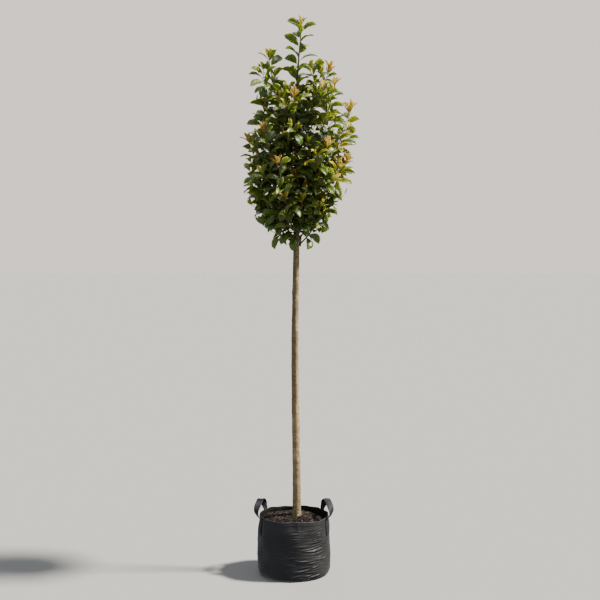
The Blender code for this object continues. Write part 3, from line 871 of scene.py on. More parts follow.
def bark_finish():
    """Smooth young bark: olive-tan, with pale lenticels, fine streaks, darker stains, a green foot, and
    painted shade down its left side.
    """
    made = Finish("bark", (0.300, 0.245, 0.150), 0.75, Specular_IOR_Level=0.3)
    patches = made.noise(made.place((1, 1, 0.5)), 40.0, 5.0, 0.65)
    colour = made.ramp(
        patches,
        (0.30, (0.155, 0.105, 0.048)),
        (0.48, (0.430, 0.295, 0.128)),
        (0.68, (0.850, 0.620, 0.300)),
    )
    fields, shares = {}, {}
    for name, (stretch, scale, detail, rough, low, high, share, tint) in BARK_MARKS.items():
        fields[name] = made.noise(made.place((1, 1, stretch)), scale, detail, rough)
        shares[name] = made.ramp(fields[name], (low, 0.0), (high, share))
        colour = made.blend(shares[name], colour, tint)
    damp = made.noise(made.place((1, 1, 1.6)), 55.0, 4.0, 0.7)
    foot = made.ramp(made.axis("Z"), (0.29, 1.0), (0.42, 0.0))
    green = made.maths("MULTIPLY", foot, made.ramp(damp, (0.40, 0.0), (0.56, 0.9)))
    colour = made.blend(green, colour, (0.050, 0.052, 0.022))
    # Painted shade: the left side, turned away from the key light, is darker and greener in patches, most of
    # all high up.
    left = made.ramp(made.axis("X"), (TRUNK_X - 0.001, 0.80), (TRUNK_X + 0.0075, 0.0))
    high = made.ramp(made.axis("Z"), (0.6, 0.35), (1.0, 1.0))
    painted_shade = made.maths("MULTIPLY", left, high)
    painted_shade = made.maths("MULTIPLY", painted_shade, made.ramp(damp, (0.30, 0.55), (0.60, 1.0)))
    made.set("Base Color", made.blend(painted_shade, colour, (0.105, 0.085, 0.042)))
    relief = made.bump(fields["rings"], 0.45, 0.0012, made.bump(fields["streaks"], 0.30, 0.0010))
    made.set("Normal", made.bump(shares["lenticels"], 0.5, 0.0010, relief))
    made.set("Roughness", made.ramp(patches, (0.3, 0.62), (0.7, 0.85)))
    return made.material


def twig_finish(name, dark, light, roughness):
    """Twig bark, mottled between two colours."""
    made = Finish(name, light, roughness)
    spots = made.noise(made.place(), 260.0, 3.0, 0.6)
    made.set("Base Color", made.ramp(spots, (0.35, dark), (0.65, light)))
    made.set("Normal", made.bump(spots, 0.3, 0.0005))
    return made.material


def compost_finish(name, dark, light):
    """Dull grains, mottled between two colours."""
    made = Finish(name, light, 0.95, Specular_IOR_Level=0.2)
    grain = made.noise(made.place(), 190.0, 5.0, 0.7)
    made.set("Base Color", made.ramp(grain, (0.32, dark), (0.68, light)))
    made.set("Normal", made.bump(grain, 0.7, 0.0015))
    return made.material


LEAF_GLOW = 0.35  # how much of the light on a leaf passes on through it
LEAF_VEINS = 10


def leaf_finish(name, colour, roughness, veins, coat=0.0):
    """A leaf's surface in one plain colour, with its side veins and a slight pucker in relief."""
    made = Finish(
        name, colour, roughness,
        Coat_Weight=coat, Coat_Roughness=0.22, Specular_IOR_Level=0.40,
        Subsurface_Weight=LEAF_GLOW, Subsurface_Radius=(0.8, 1.0, 0.25), Subsurface_Scale=0.004,
    )
    across = made.maths("ABSOLUTE", made.maths("SUBTRACT", made.axis("Y", "UV"), 0.5))
    run = made.maths("SUBTRACT", made.axis("X", "UV"), made.maths("MULTIPLY", across, 0.55))
    wave = made.maths("SINE", made.maths("MULTIPLY", run, math.tau * LEAF_VEINS))
    relief = made.bump(made.maths("POWER", made.maths("ABSOLUTE", wave), 0.35), veins, 0.0006)
    made.set("Normal", made.bump(made.noise(made.place(), 160.0, 2.0), 0.12, 0.0010, relief))
    return made.material


# ---------------------------------------------------------------- the bag


def bag_radius(z):
    """The bag's plain form: straight to the shoulder, then drawn in to the rim."""
    share = np.maximum(np.asarray(z) - BAG_SHOULDER_Z, 0) / (BAG_HEIGHT - BAG_SHOULDER_Z)
    return mix(BAG_BODY_RADIUS, BAG_RIM_RADIUS, share)


TAB_ANGLES = (STRAP_FRONT_ANGLE, STRAP_BACK_ANGLE, math.pi - STRAP_FRONT_ANGLE, math.pi - STRAP_BACK_ANGLE)
Fold = namedtuple("Fold", "angle height length width rise bend amount")
FOLD_COUNT = 190
FOLD_TOP_Z = 0.262
FOLDS_FACING = 0.45  # the share of the folds that gather on the right front
FOLDS_CENTRE = -60  # where they gather, in degrees from the right
FOLDS_SPREAD = 24
RIM_FOLD_COUNT = 22
BAG_SIDES = 280
RIM_ROLL = 0.0014
HEM = 0.019
HEM_STEP = 0.0015  # over how much height the cloth thickens at the hem's lower edge
HEM_PROUD = 0.0010
HEM_STITCHES = 236
STITCH_RADIUS = 0.00045
HIDDEN_INSET = 0.009  # how far the unseen inner wall stands in from the plain form


def cloth_folds():
    """The creases of the bag's body, nearly level, thickest low on the right front."""
    rng = random.Random(5)
    made = []
    for _ in range(FOLD_COUNT):
        facing = rng.random() < FOLDS_FACING
        angle = math.radians(rng.gauss(FOLDS_CENTRE, FOLDS_SPREAD)) if facing else rng.uniform(0, math.tau)
        height = mix(0.020, FOLD_TOP_Z, rng.random() ** (1.35 if facing else 1.1))
        length = rng.uniform(0.026, 0.090)
        width = rng.uniform(0.0022, 0.0048)
        rise = rng.uniform(-0.02, 0.22) if facing else rng.uniform(-0.16, 0.16)
        amount = rng.uniform(0.0008, 0.0024) * (1.0 if facing else 0.75) * rng.choice((1, 1, -0.8))
        amount *= mix(1.25, 0.72, height / FOLD_TOP_Z)
        made.append(Fold(angle, height, length, width, rise, rng.uniform(-1.5, 1.5), amount))
    return made


def rim_folds():
    """The short upright puckers along the rim."""
    rng = random.Random(11)
    made = []
    for k in range(RIM_FOLD_COUNT):
        angle = math.tau * (k + rng.uniform(-0.4, 0.4)) / RIM_FOLD_COUNT
        height = BAG_HEIGHT - rng.uniform(0.0, 0.02)
        length = rng.uniform(0.018, 0.050)
        width = rng.uniform(0.006, 0.014)
        made.append(Fold(angle, height, length, width, 0.0, 0.0, rng.uniform(-0.0022, 0.0022)))
    return made


BODY_FOLDS = cloth_folds()
RIM_FOLDS = rim_folds()


def cloth_ripples(angle, z):
    """Fine creases that run nearly level, strongest on the right front."""
    slant = 0.16 * np.abs(np.sin(angle)) * (angle * BAG_BODY_RADIUS) * np.cos(angle)
    places = circle(angle, 2.4, (z - slant) * 95).reshape(-1, 3)
    rough = np.array([noise.fractal(Vector(p), 0.8, 2.0, 3) for p in places]).reshape(z.shape)
    front = bell(wrap(angle + 0.75) / 0.80)
    return (0.0005 + 0.0013 * front) * (0.5 - np.abs(rough)) * smooth((0.285 - z) / 0.03)


def cloth_offset(angle, z):
    """How far the cloth stands out from the bag's plain form, at arrays of angles and heights."""
    out = 0.0022 * np.sin(2 * angle + 0.7) + 0.0014 * np.sin(3 * angle - 1.1) * z / BAG_HEIGHT
    out = out + 0.0012 * np.sin(7 * angle + 30 * z) + 0.0008 * np.sin(11 * angle - 46 * z + 1)
    out = out + 0.0022 * np.sin(math.pi * z / BAG_SHOULDER_Z) * (z < BAG_SHOULDER_Z)
    for fold in BODY_FOLDS:
        run = wrap(angle - fold.angle) * BAG_BODY_RADIUS
        reach = np.clip(1 - (run / fold.length) ** 2, 0, 1) ** 2
        off = (z - fold.height - fold.rise * run - fold.bend * run**2) / fold.width
        out = out + fold.amount * reach * (bell(off) - 0.45 * bell(off + 1.5))
    for fold in RIM_FOLDS:
        run = wrap(angle - fold.angle) * BAG_RIM_RADIUS
        reach = np.clip(1 - ((z - fold.height) / fold.length) ** 2, 0, 1)
        out = out + fold.amount * reach * bell(run / fold.width)
    out = out + 0.0030 * bell((z - 0.232) / 0.034) + cloth_ripples(angle, z)
    # The cloth is flat under the straps' tabs and at its foot.
    for tab in TAB_ANGLES:
        beside = np.abs(wrap(angle - tab)) * BAG_RIM_RADIUS - STRAP_WIDTH / 2
        below = BAG_HEIGHT - STRAP_TAB_LENGTH - z
        out = out * smooth(np.maximum(beside / 0.020, below / 0.022))
    return out * smooth((z - 0.004) / 0.020)


def rim_lift(angle):
    """How far the rim stands above its plain height: it dips between the tabs and is drawn up at them."""
    lift = 0.0026 * np.sin(3 * angle + 0.4) + 0.0020 * np.sin(5 * angle + 2.0) + 0.0013 * np.sin(11 * angle)
    for tab in TAB_ANGLES:
        lift = lift * (1 - 0.8 * bell(wrap(angle - tab) * BAG_RIM_RADIUS / 0.03))
    return lift


def bag_point(angle, z, inwards=0.0):
    """Points on the cloth's outer face at a plain height z, or this far inside it."""
    angle, z = np.broadcast_arrays(np.asarray(angle, float), np.asarray(z, float))
    radius = bag_radius(z) + cloth_offset(angle, z) - inwards
    return circle(angle, radius, z + rim_lift(angle) * smooth((z - 0.20) / (BAG_HEIGHT - 0.20)))


def foot_ring(angle, turn):
    """A ring of the bag's rounded lower edge, with the welt of its bottom seam."""
    welt = 0.0011 * bell((turn - 0.95) / 0.11)
    radius = mix(BAG_FOOT_RADIUS, BAG_BODY_RADIUS, math.sin(turn)) + welt * math.sin(turn)
    z = max(BAG_FOOT_ROUND * (1 - math.cos(turn)) - welt * math.cos(turn), 0.0)
    return circle(angle, radius + cloth_offset(angle, np.full_like(angle, z)) * smooth(turn), z)


def hem_share(z):
    """0 below the hem and 1 on it."""
    return float(smooth((z - (BAG_HEIGHT - HEM - HEM_STEP)) / HEM_STEP))


def build_bag(cloth, lining, thread):
    """The bag as one closed shell: out under the floor, up the wall, over the rim, and down and in again."""
    angle = np.arange(BAG_SIDES) * math.tau / BAG_SIDES
    rings = [circle(angle, BAG_FOOT_RADIUS * share, 0.0) for share in np.linspace(0.12, 0.97, 8)]
    rings += [foot_ring(angle, turn) for turn in np.linspace(0, math.pi / 2, 13)[:-1]]
    for z in np.linspace(BAG_FOOT_ROUND, BAG_HEIGHT - RIM_ROLL, 140):
        rings.append(bag_point(angle, z, -HEM_PROUD * hem_share(z)))
    lined = len(rings) + 2
    for turn in np.linspace(0.25, 0.75, 3) * math.pi:
        across = RIM_ROLL * (1 - math.cos(turn)) - HEM_PROUD
        rings.append(bag_point(angle, BAG_HEIGHT, across) + [0, 0, RIM_ROLL * (math.sin(turn) - 1)])
    for z in np.linspace(BAG_HEIGHT - RIM_ROLL, 0.255, 22):
        rings.append(bag_point(angle, z, RIM_ROLL * 2 - HEM_PROUD + 0.0008 * hem_share(z)))
    for z in np.linspace(0.225, BAG_FOOT_ROUND + BAG_WALL, 8):
        rings.append(circle(angle, float(bag_radius(z)) - HIDDEN_INSET, z))
    for radius in np.linspace(BAG_FOOT_RADIUS - HIDDEN_INSET, 0.02, 5):
        rings.append(circle(angle, radius, BAG_WALL))
    points, quads, ends = closed_tube(np.array(rings))
    marks = np.cumsum([0.0] + [np.linalg.norm(b[0] - a[0]) for a, b in zip(rings, rings[1:])])
    slots = np.where(quads[:, 0] // BAG_SIDES >= lined, 1, 0)
    soup = Soup()
    soup.add(points, [quads, ends], [slots, 1], tube_uvs(angle * BAG_BODY_RADIUS, marks))
    keep(soup.build("grow_bag_cloth", [cloth, lining]), "bag_fabric", "grow_bag")

    soup = Soup()
    for k in range(HEM_STITCHES):
        turns = [(k + end) * math.tau / HEM_STITCHES for end in (0.12, 0.80)]
        add_stitch(soup, *[bag_point(turn, BAG_HEIGHT - HEM + 0.004, -0.0012) for turn in turns])
    keep(soup.build("grow_bag_hem_stitches", [thread]), "strap_webbing")


def add_stitch(soup, start, end, slot=0, tip_length=STITCH_RADIUS, tip_radius=STITCH_RADIUS * 0.45):
    """One stitch of thread: a short rod between two points, thinner at its ends."""
    start, end = Vector(start), Vector(end)
    step = (end - start).normalized() * tip_length
    radii = [tip_radius, STITCH_RADIUS, STITCH_RADIUS, tip_radius]
    points, quads, ends = closed_tube(limb_rings([start, start + step, end - step, end], radii, 6))
    soup.add(points, [quads, ends], slot)


# ---------------------------------------------------------------- the straps


def strap_route(side):
    """The strap's middle line and the directions of its width: up one tab, over, and down the other."""

    def on_wall(angle, z):
        reach = float(bag_radius(z)) + GAP * 1.5 + STRAP_THICKNESS / 2
        return Vector((side * reach * math.cos(angle), reach * math.sin(angle), z))

    def along_wall(angle):
        way = Vector((-side * math.sin(angle), math.cos(angle), 0))
        return way if way.x * side > 0 else -way

    outward, backward = Vector((side, 0, 0)), Vector((0, 1, 0))
    foot = BAG_HEIGHT - STRAP_TAB_LENGTH
    front = [on_wall(STRAP_FRONT_ANGLE, mix(foot, BAG_HEIGHT - STRAP_LEAVES, k / 2)) for k in range(3)]
    back = [on_wall(STRAP_BACK_ANGLE, mix(BAG_HEIGHT, foot, k / 2)) for k in range(3)]
    start, end = front[-1], back[0]
    top = Vector((side * STRAP_TOP_REACH, (start.y + end.y) / 2, BAG_HEIGHT + STRAP_RISE))
    shoulder = backward * (end.y - start.y) * 0.28
    pull_out = outward * STRAP_BOW * 1.22 + UP * STRAP_RISE * 0.62
    pull_back = outward * STRAP_BOW * 0.16 + UP * STRAP_RISE * 0.60
    rise = bezier(start, start + pull_out, top - shoulder, top, 8)
    fall = bezier(top, top + shoulder, end + pull_back, end, 7)
    points = front + rise[1:] + fall[1:-1] + back
    widths = []
    for point in points:
        flat = along_wall(STRAP_FRONT_ANGLE if point.y < top.y else STRAP_BACK_ANGLE)
        widths.append(flat.slerp(outward, float(smooth((point.z - BAG_HEIGHT) / STRAP_RISE))))
    return points, widths


def strap_section(count=17):
    """The strap's section as (across, thick) shares: two ribbed faces and rounded edges."""
    across = np.cos(np.linspace(0, math.pi, count))
    ribs = 0.5 - 0.10 * (0.5 + 0.5 * np.cos(across * math.pi * 6)) - 0.38 * np.abs(across) ** 10
    upper = np.stack([across, ribs], axis=-1)
    lower = np.stack([-across[1:-1], -ribs[1:-1]], axis=-1)
    return np.concatenate([upper, lower])


Spot = namedtuple("Spot", "point wide thick run")


def strap_spots(side):
    """Places along the strap, with the directions of its width and thickness and the distance so far."""
    points, widths = strap_route(side)
    line = resampled(points, 0.0028)
    marks = np.cumsum([0.0] + [(b - a).length for a, b in zip(points, points[1:])])
    spots = []
    run = 0.0
    for i, point in enumerate(line):
        if i:
            run += (point - line[i - 1]).length
        share = np.interp(run, marks, np.arange(len(points)))
        after = widths[min(int(share) + 1, len(widths) - 1)]
        along = direction_at(line, i)
        wide = widths[int(share)].lerp(after, share % 1.0)
        wide = (wide - along * wide.dot(along)).normalized()
        spots.append(Spot(point, wide, along.cross(wide).normalized(), run))
    return spots


def build_strap(node, side, webbing, thread):
    """One strap: a ribbed section carried along its route, cupped and a little wavy where it is loose."""
    section = strap_section()
    spots = strap_spots(side)
    rings = []
    for point, wide, thick, run in spots:
        loose = smooth((point.z - BAG_HEIGHT) / 0.03)
        ring = []
        for across, height in section:
            bow = 0.0022 * loose * (across**2 - 0.4)
            edge = 0.0006 * loose * math.sin(run * 160 + across)
            out = height * STRAP_THICKNESS + bow + edge
            ring.append(point + wide * across * STRAP_WIDTH / 2 + thick * out)
        rings.append(ring)
    points, quads, ends = closed_tube(np.array(rings))
    soup = Soup()
    uvs = tube_uvs(section[:, 0] * STRAP_WIDTH / 2, [spot.run for spot in spots])
    soup.add(points, [quads, ends], 0, uvs)
    add_box_stitching(soup, spots)
    keep(soup.build(node + "_webbing", [webbing, thread]), "strap_webbing", node)


# The corners of a tab's stitched box, as across and along the strap, and its sides and diagonals.
BOX_CORNERS = np.array([(-0.0125, 0.006), (0.0125, 0.006), (0.0125, 0.046), (-0.0125, 0.046)])
BOX_LINES = ((0, 1), (1, 2), (2, 3), (3, 0), (0, 2), (1, 3))


def on_tab(spots, across, run, far):
    """A place on a tab's outer face, from the strap's near end or its far one."""
    way = -1 if far else 1
    run = spots[-1].run - run if far else run
    point, wide, thick, mark = min(spots, key=lambda spot: abs(spot.run - run))
    outward = thick if thick.dot(Vector((point.x, point.y, 0))) > 0 else -thick
    return point + wide * across + outward * (STRAP_THICKNESS * 0.5 + 0.0001) + UP * (run - mark) * way


def add_box_stitching(soup, spots):
    """A stitched box with its diagonals on each tab."""
    for far in (False, True):
        for first, second in BOX_LINES:
            start, way = BOX_CORNERS[first], BOX_CORNERS[second] - BOX_CORNERS[first]
            steps = int(np.linalg.norm(way) / 0.0042)
            for k in range(steps):
                ends = [on_tab(spots, *(start + way * (k + end) / steps), far) for end in (0.12, 0.82)]
                add_stitch(soup, *ends, 1, 0.0004, 0.0002)


# ---------------------------------------------------------------- the compost

COMPOST_SIDES = 220
COMPOST_TOP = BAG_HEIGHT - COMPOST_CROWN_DEPTH
COMPOST_EDGE = BAG_HEIGHT - COMPOST_EDGE_DEPTH
COMPOST_RADIUS = 0.172
COMPOST_DIP = 0.020  # how much lower it lies at the wall on the right
CRUMB_COUNT = 3000
CHIP_COUNT = 520
CHIP_SIDES = 7


def compost_height(x, y):
    """The compost's plain height at a place: a low mound round the trunk, falling to the wall."""
    share = np.clip((np.hypot(x, y) - TRUNK_SEAT_RADIUS) / (COMPOST_RADIUS - TRUNK_SEAT_RADIUS), 0, 1)
    level = mix(COMPOST_TOP, COMPOST_EDGE, share**1.5)
    return level - COMPOST_DIP * share * bell(np.arctan2(y, x) / 0.95)


def lumpy(x, y):
    """The compost's height with its lumps, at arrays of places."""
    flat = np.stack([x, y, np.zeros_like(x)], axis=-1)
    lumps = roughness_at(flat, 42.0, 3, 3.0)
    crumbs = roughness_at(flat, 170.0, 3, 9.0)
    return compost_height(x, y) - 0.0015 + 0.0032 * lumps + 0.0022 * np.abs(crumbs)


def scattered(rng, count, radius, clear):
    """Random places on the compost, clear of the trunk."""
    for _ in range(count):
        reach = radius * math.sqrt(rng.random())
        heading = rng.uniform(0, math.tau)
        x, y = reach * math.cos(heading), reach * math.sin(heading)
        if math.hypot(x - TRUNK_X, y) >= clear:
            yield x, y


def build_compost(soil, tones):
    """The compost's body with its lumpy top, and the crumbs and chips of bark that lie on it."""
    angle = np.arange(COMPOST_SIDES) * math.tau / COMPOST_SIDES
    rings = [circle(angle, radius, 0.0036) for radius in np.linspace(0.02, BAG_FOOT_RADIUS - 0.008, 4)]
    for z in np.linspace(0.028, COMPOST_EDGE - 0.050, 8):
        rings.append(circle(angle, float(bag_radius(z)) - HIDDEN_INSET * 1.4, z))
    edge = bag_point(angle, COMPOST_EDGE, 0.0022)
    reach = np.hypot(edge[:, 0], edge[:, 1])
    for share in np.linspace(1.0, 0.02, 74) ** 0.85:
        x, y = reach * share * np.cos(angle), reach * share * np.sin(angle)
        rings.append(circle(angle, reach * share, lumpy(x, y)))
    points, quads, ends = closed_tube(np.array(rings))
    soup = Soup()
    soup.add(points, [quads, ends])
    keep(soup.build("compost_surface", [soil]), "compost", "compost")

    rng = random.Random(41)
    soup = Soup()
    for x, y in scattered(rng, CRUMB_COUNT, 0.168, 0.026):
        add_crumb(soup, rng, x, y)
    keep(soup.build("compost_crumbs", tones, flat=True), "compost")
    soup = Soup()
    for x, y in scattered(rng, CHIP_COUNT, 0.164, 0.032):
        add_chip(soup, rng, Vector((x, y, float(compost_height(x, y)) + rng.uniform(0.0012, 0.0036))))
    keep(soup.build("compost_bark_chips", tones, flat=True), "compost")


def icosahedron():
    """A ball of twenty faces, of radius one."""
    gold = (1 + math.sqrt(5)) / 2
    corners = [(a, b) for b in (gold, -gold) for a in (-1, 1)]
    points = [(a, b, 0) for a, b in corners] + [(0, a, b) for a, b in corners]
    points = np.array(points + [(b, 0, a) for a, b in corners], float)
    points /= np.linalg.norm(points[0])
    faces = np.array([
        (0, 11, 5), (0, 5, 1), (0, 1, 7), (0, 7, 10), (0, 10, 11), (1, 5, 9), (5, 11, 4), (11, 10, 2),
        (10, 7, 6), (7, 1, 8), (3, 9, 4), (3, 4, 2), (3, 2, 6), (3, 6, 8), (3, 8, 9), (4, 9, 5),
        (2, 4, 11), (6, 2, 10), (8, 6, 7), (9, 8, 1),
    ])
    return points, faces


BALL_POINTS, BALL_FACES = icosahedron()


def add_crumb(soup, rng, x, y):
    """A rough lump, in one of the tones: dark, reddish or pale."""
    size = 0.0016 + 0.0036 * rng.random() ** 2.4
    z = float(compost_height(x, y)) + rng.uniform(-0.001, 0.0022)
    shape = BALL_POINTS * np.array([rng.uniform(0.7, 1.4) for _ in range(3)])
    shape = shape * np.array([[rng.uniform(0.78, 1.22)] for _ in range(len(shape))]) * size
    turn = np.array(Quaternion([rng.gauss(0, 1) for _ in range(4)]).normalized().to_matrix())
    tone = rng.choices((0, 1, 2), (0.50, 0.38, 0.12))[0]
    soup.add(shape @ turn.T + np.array([x, y, z]), BALL_FACES, tone)


def add_chip(soup, rng, place):
    """A flat splinter of bark with a ragged outline, lying nearly level."""
    length = rng.uniform(0.0045, 0.0115)
    width = length * rng.uniform(0.28, 0.60)
    thick = rng.uniform(0.0008, 0.0020)
    rim = []
    for k in range(CHIP_SIDES):
        turn = math.tau * k / CHIP_SIDES
        rough = rng.uniform(0.78, 1.18)
        rim.append((math.cos(turn) * length * rough, math.sin(turn) * width * rough))
    bend = rng.uniform(-14, 14)
    low = [(x, y, -thick + bend * x * x) for x, y in rim]
    high = [(x * 0.9, y * 0.86, thick * rng.uniform(0.6, 1.2) + bend * x * x) for x, y in rim]
    tilt = Matrix.Rotation(rng.uniform(0, math.tau), 3, "Z") @ Matrix.Rotation(rng.gauss(0, 0.30), 3, "X")
    tilt = tilt @ Matrix.Rotation(rng.gauss(0, 0.30), 3, "Y")
    points, quads, ends = closed_tube(np.array([low, high]))
    tone = rng.choices((0, 1, 2), (0.34, 0.46, 0.20))[0]
    soup.add(points @ np.array(tilt).T + np.array(place), [quads, ends], tone)


# ---------------------------------------------------------------- the trunk, boughs and twigs

TRUNK_RING_SIDES = 60
KNOT_COUNT = 15
TRUNK_EXTRA = 0.0007  # the bark's mean thickness over the plain trunk
LENTICEL_COUNT = 620
YOUNG_TRUNK_Z = 2.40  # above this the trunk has the shoots' bark
BOUGH_RING_SIDES = 12
TWIG_RING_SIDES = 7


def bark_noise(angle, radius, z, stretch, scale, seed):
    """Smooth heights over a round surface, on a grid of angles and heights."""
    places = circle(angle, radius, z * stretch).reshape(-1, 3)
    return roughness_at(places, scale, 2, seed).reshape(angle.shape)


def trunk_relief(angle, z):
    """How far the bark stands out from the plain trunk, on a grid of angles and heights."""
    rng = random.Random(77)
    foot = z[0, 0]
    radius = np.array([trunk_radius(h) for h in z[:, 0]])[:, None]
    out = 0.055 * radius * bark_noise(angle, 0.02, z, 0.16, 60.0, 2.0)
    out = out + 0.00042 * bark_noise(angle, radius, z, 0.30, 330.0, 5.0)
    out = out + 0.00022 * bark_noise(angle, radius, z, 2.2, 300.0, 8.0)
    out = out - out.mean() + TRUNK_EXTRA * smooth((1.7 - z) / 0.6)
    out = out + (0.0016 * np.cos(3 * angle + 0.6) - TRUNK_FLARE * 0.5) * np.exp(-(z - foot) / 0.030)
    heading = 0.9
    for k in range(KNOT_COUNT):
        heading += GOLDEN_ANGLE
        height = mix(0.44, 1.60, (k + rng.uniform(-0.3, 0.3)) / KNOT_COUNT)
        run = wrap(angle - heading) * radius
        size = rng.uniform(0.0042, 0.0068)
        far = np.hypot(run / 1.15, z - height) / size
        out = out + 0.0017 * bell(far) - 0.0012 * bell(far / 0.45)
        out = out + 0.0005 * bell((z - height + 0.003) / 0.009)
    for _ in range(LENTICEL_COUNT):
        height = mix(foot, 2.2, rng.random())
        heading = rng.uniform(0, math.tau)
        rows = slice(*np.searchsorted(z[:, 0], (height - 0.005, height + 0.005)))
        run = wrap(angle[rows] - heading) * radius[rows]
        far = np.hypot(run / rng.uniform(0.0022, 0.0046), (z[rows] - height) / 0.0015)
        out[rows] += 0.00045 * bell(far)
    return out


def build_trunk(bark, young):
    """The trunk and its leader as one limb with the bark's relief."""
    foot = COMPOST_TOP - 0.008
    heights = np.concatenate([
        np.arange(foot, 1.70, 0.0022),
        np.arange(1.70, TRUNK_TOP_Z, 0.0036),
        np.arange(TRUNK_TOP_Z, TIP_Z - TUFT_LENGTH, 0.006),
    ])
    angle = np.arange(TRUNK_RING_SIDES) * math.tau / TRUNK_RING_SIDES
    angles, z = np.broadcast_arrays(angle[None, :], heights[:, None])
    relief = trunk_relief(angles, z)
    rings = []
    for k, height in enumerate(heights):
        centre = trunk_centre(height)
        radius = trunk_radius(height) + relief[k] * min(1.0, trunk_radius(height) / 0.008)
        rings.append(circle(angle, radius, height) + [centre.x, centre.y, 0])
    points, quads, ends = closed_tube(np.array(rings))
    upper = heights[quads[:, 0] // TRUNK_RING_SIDES] > YOUNG_TRUNK_Z
    soup = Soup()
    soup.add(points, [quads, ends], [np.where(upper, 1, 0), 1])
    keep(soup.build("trunk_bark", [bark, young]), "bark", "trunk")


def ringed(radii, marks, spacing, swell, width):
    """The same radii with a low swelling at even places, where leaves once stood."""
    return radii * (1 + swell * bell((marks % spacing - spacing / 2) / width))


def build_boughs(bark, young, tip):
    """Every bough from the trunk to the tip of its shoot, thicker where it leaves the trunk."""
    soup = Soup()
    for index, bough in enumerate(BOUGHS):
        line = bough_line(bough)
        part = line.part(trunk_radius(bough.base) * 0.55, line.length, 60)
        marks = np.array(part.marks)
        radii = part.radius(marks) + 0.0030 * np.exp(-marks / 0.007)
        radii = radii * (1 + 0.10 * roughness_at(part.points, 45.0, 2, index * 3.0))
        radii = ringed(radii, marks, 0.024, 0.10, 0.002)
        points, quads, ends = closed_tube(limb_rings(part.points, radii, BOUGH_RING_SIDES))
        share = marks[quads[:, 0] // BOUGH_RING_SIDES] / part.length
        soup.add(points, [quads, ends], [np.digitize(share, (0.50, 0.86)), 2])
    keep(soup.build("boughs_bark", [bark, young, tip]), "bark", *["bough_" + bough.name for bough in BOUGHS])


def leafy_part(twig, roots):
    """The twig as far as the last of these roots that is on it, or None where it bears nothing."""
    steps = 20
    for step in range(steps, 0, -1):
        end = twig.length * step / steps
        point = twig.at(end)[0]
        if any((point - root).length < twig.length * 1.5 / steps for root in roots):
            return twig.part(0.0, end, 6)
    return None


def leafy_twigs(mass):
    """The mass's twigs and finer twigs, each cut back to what grows on it."""
    roots = [leaf.root for leaf in mass.leaves]
    fine = [part for part in (leafy_part(twig, roots) for twig in mass.fine_twigs) if part]
    roots += [twig.points[0] for twig in fine]
    side = [part for part in (leafy_part(twig, roots) for twig in mass.twigs) if part]
    return side + fine


def build_twigs(masses, young, tip):
    """The spurs on the trunk, and the twigs and finer twigs of every mass."""
    soup = Soup()
    for mass in masses:
        twigs = leafy_twigs(mass)
        if "spur" in mass.name:
            start = trunk_radius(mass.limb.points[0].z) * 0.6
            twigs.insert(0, mass.limb.part(start, mass.limb.length, 8))
        for twig in twigs:
            line = resampled(twig.points, 0.007)
            shares = np.linspace(0, 1, len(line))
            marks = shares * twig.length
            radii = mix(twig.thick, twig.thin, shares) + 0.0007 * np.exp(-marks / 0.004)
            radii = ringed(radii, marks, 0.022, 0.14, 0.003)
            points, quads, ends = closed_tube(limb_rings(line, radii, TWIG_RING_SIDES))
            share = shares[quads[:, 0] // TWIG_RING_SIDES]
            soup.add(points, [quads, ends], [np.where(share < 0.6, 0, 1), 1])
    return soup.build("twigs", [young, tip])


# ---------------------------------------------------------------- the leaves

STATIONS = 16
MIDRIB = 0.055
HALFWAY = 0.52  # the share of the half-width where the blade's faces bend
BLADE_LIFT = 0.0030
RIDGE = 0.0065  # how far the midrib stands out below
TEETH = 0.05
PETIOLE = 0.10
PETIOLE_SIDES = 5
LeafForm = namedtuple("LeafForm", "points uvs quads quad_slots tris tri_slots")
UPPER, UNDER, RIB = 0, 1, 2

# The blade's section, all the way round: shares of the half-width, and the slot of the face after each.
ACROSS = (-1, -HALFWAY, -MIDRIB, MIDRIB, HALFWAY, 1, HALFWAY, MIDRIB, -MIDRIB, -HALFWAY)
FACE_SLOTS = (UPPER, UPPER, RIB, UPPER, UPPER, UNDER, UNDER, RIB, UNDER, UNDER)


def blade_width(t, fullness):
    """Half the blade's width along it, as a share of the widest: a wedge foot and a short drawn-out tip."""
    rise, fall = 0.90, mix(0.86, 0.68, fullness)
    peak = rise / (rise + fall)
    body = (t / peak) ** rise * ((1 - t) / (1 - peak)) ** fall
    return body * (1 - 0.30 * bell((t - 0.93) / 0.055))


def midrib_line(turn):
    """The midrib's arch at even steps: the steps, its distance and height there, and its slope."""
    steps = np.linspace(0, 1, 201)
    slope = turn * (0.45 - steps**1.35)
    x = np.concatenate([[0], np.cumsum(np.cos(slope[:-1]))])
    z = np.concatenate([[0], np.cumsum(np.sin(slope[:-1]))])
    lean = math.atan2(z[-1], x[-1]) + LEAF_HOOK
    chord = math.hypot(x[-1], z[-1])
    along = (x * math.cos(lean) + z * math.sin(lean)) / chord
    above = (z * math.cos(lean) - x * math.sin(lean)) / chord
    return steps, along, above, slope - lean


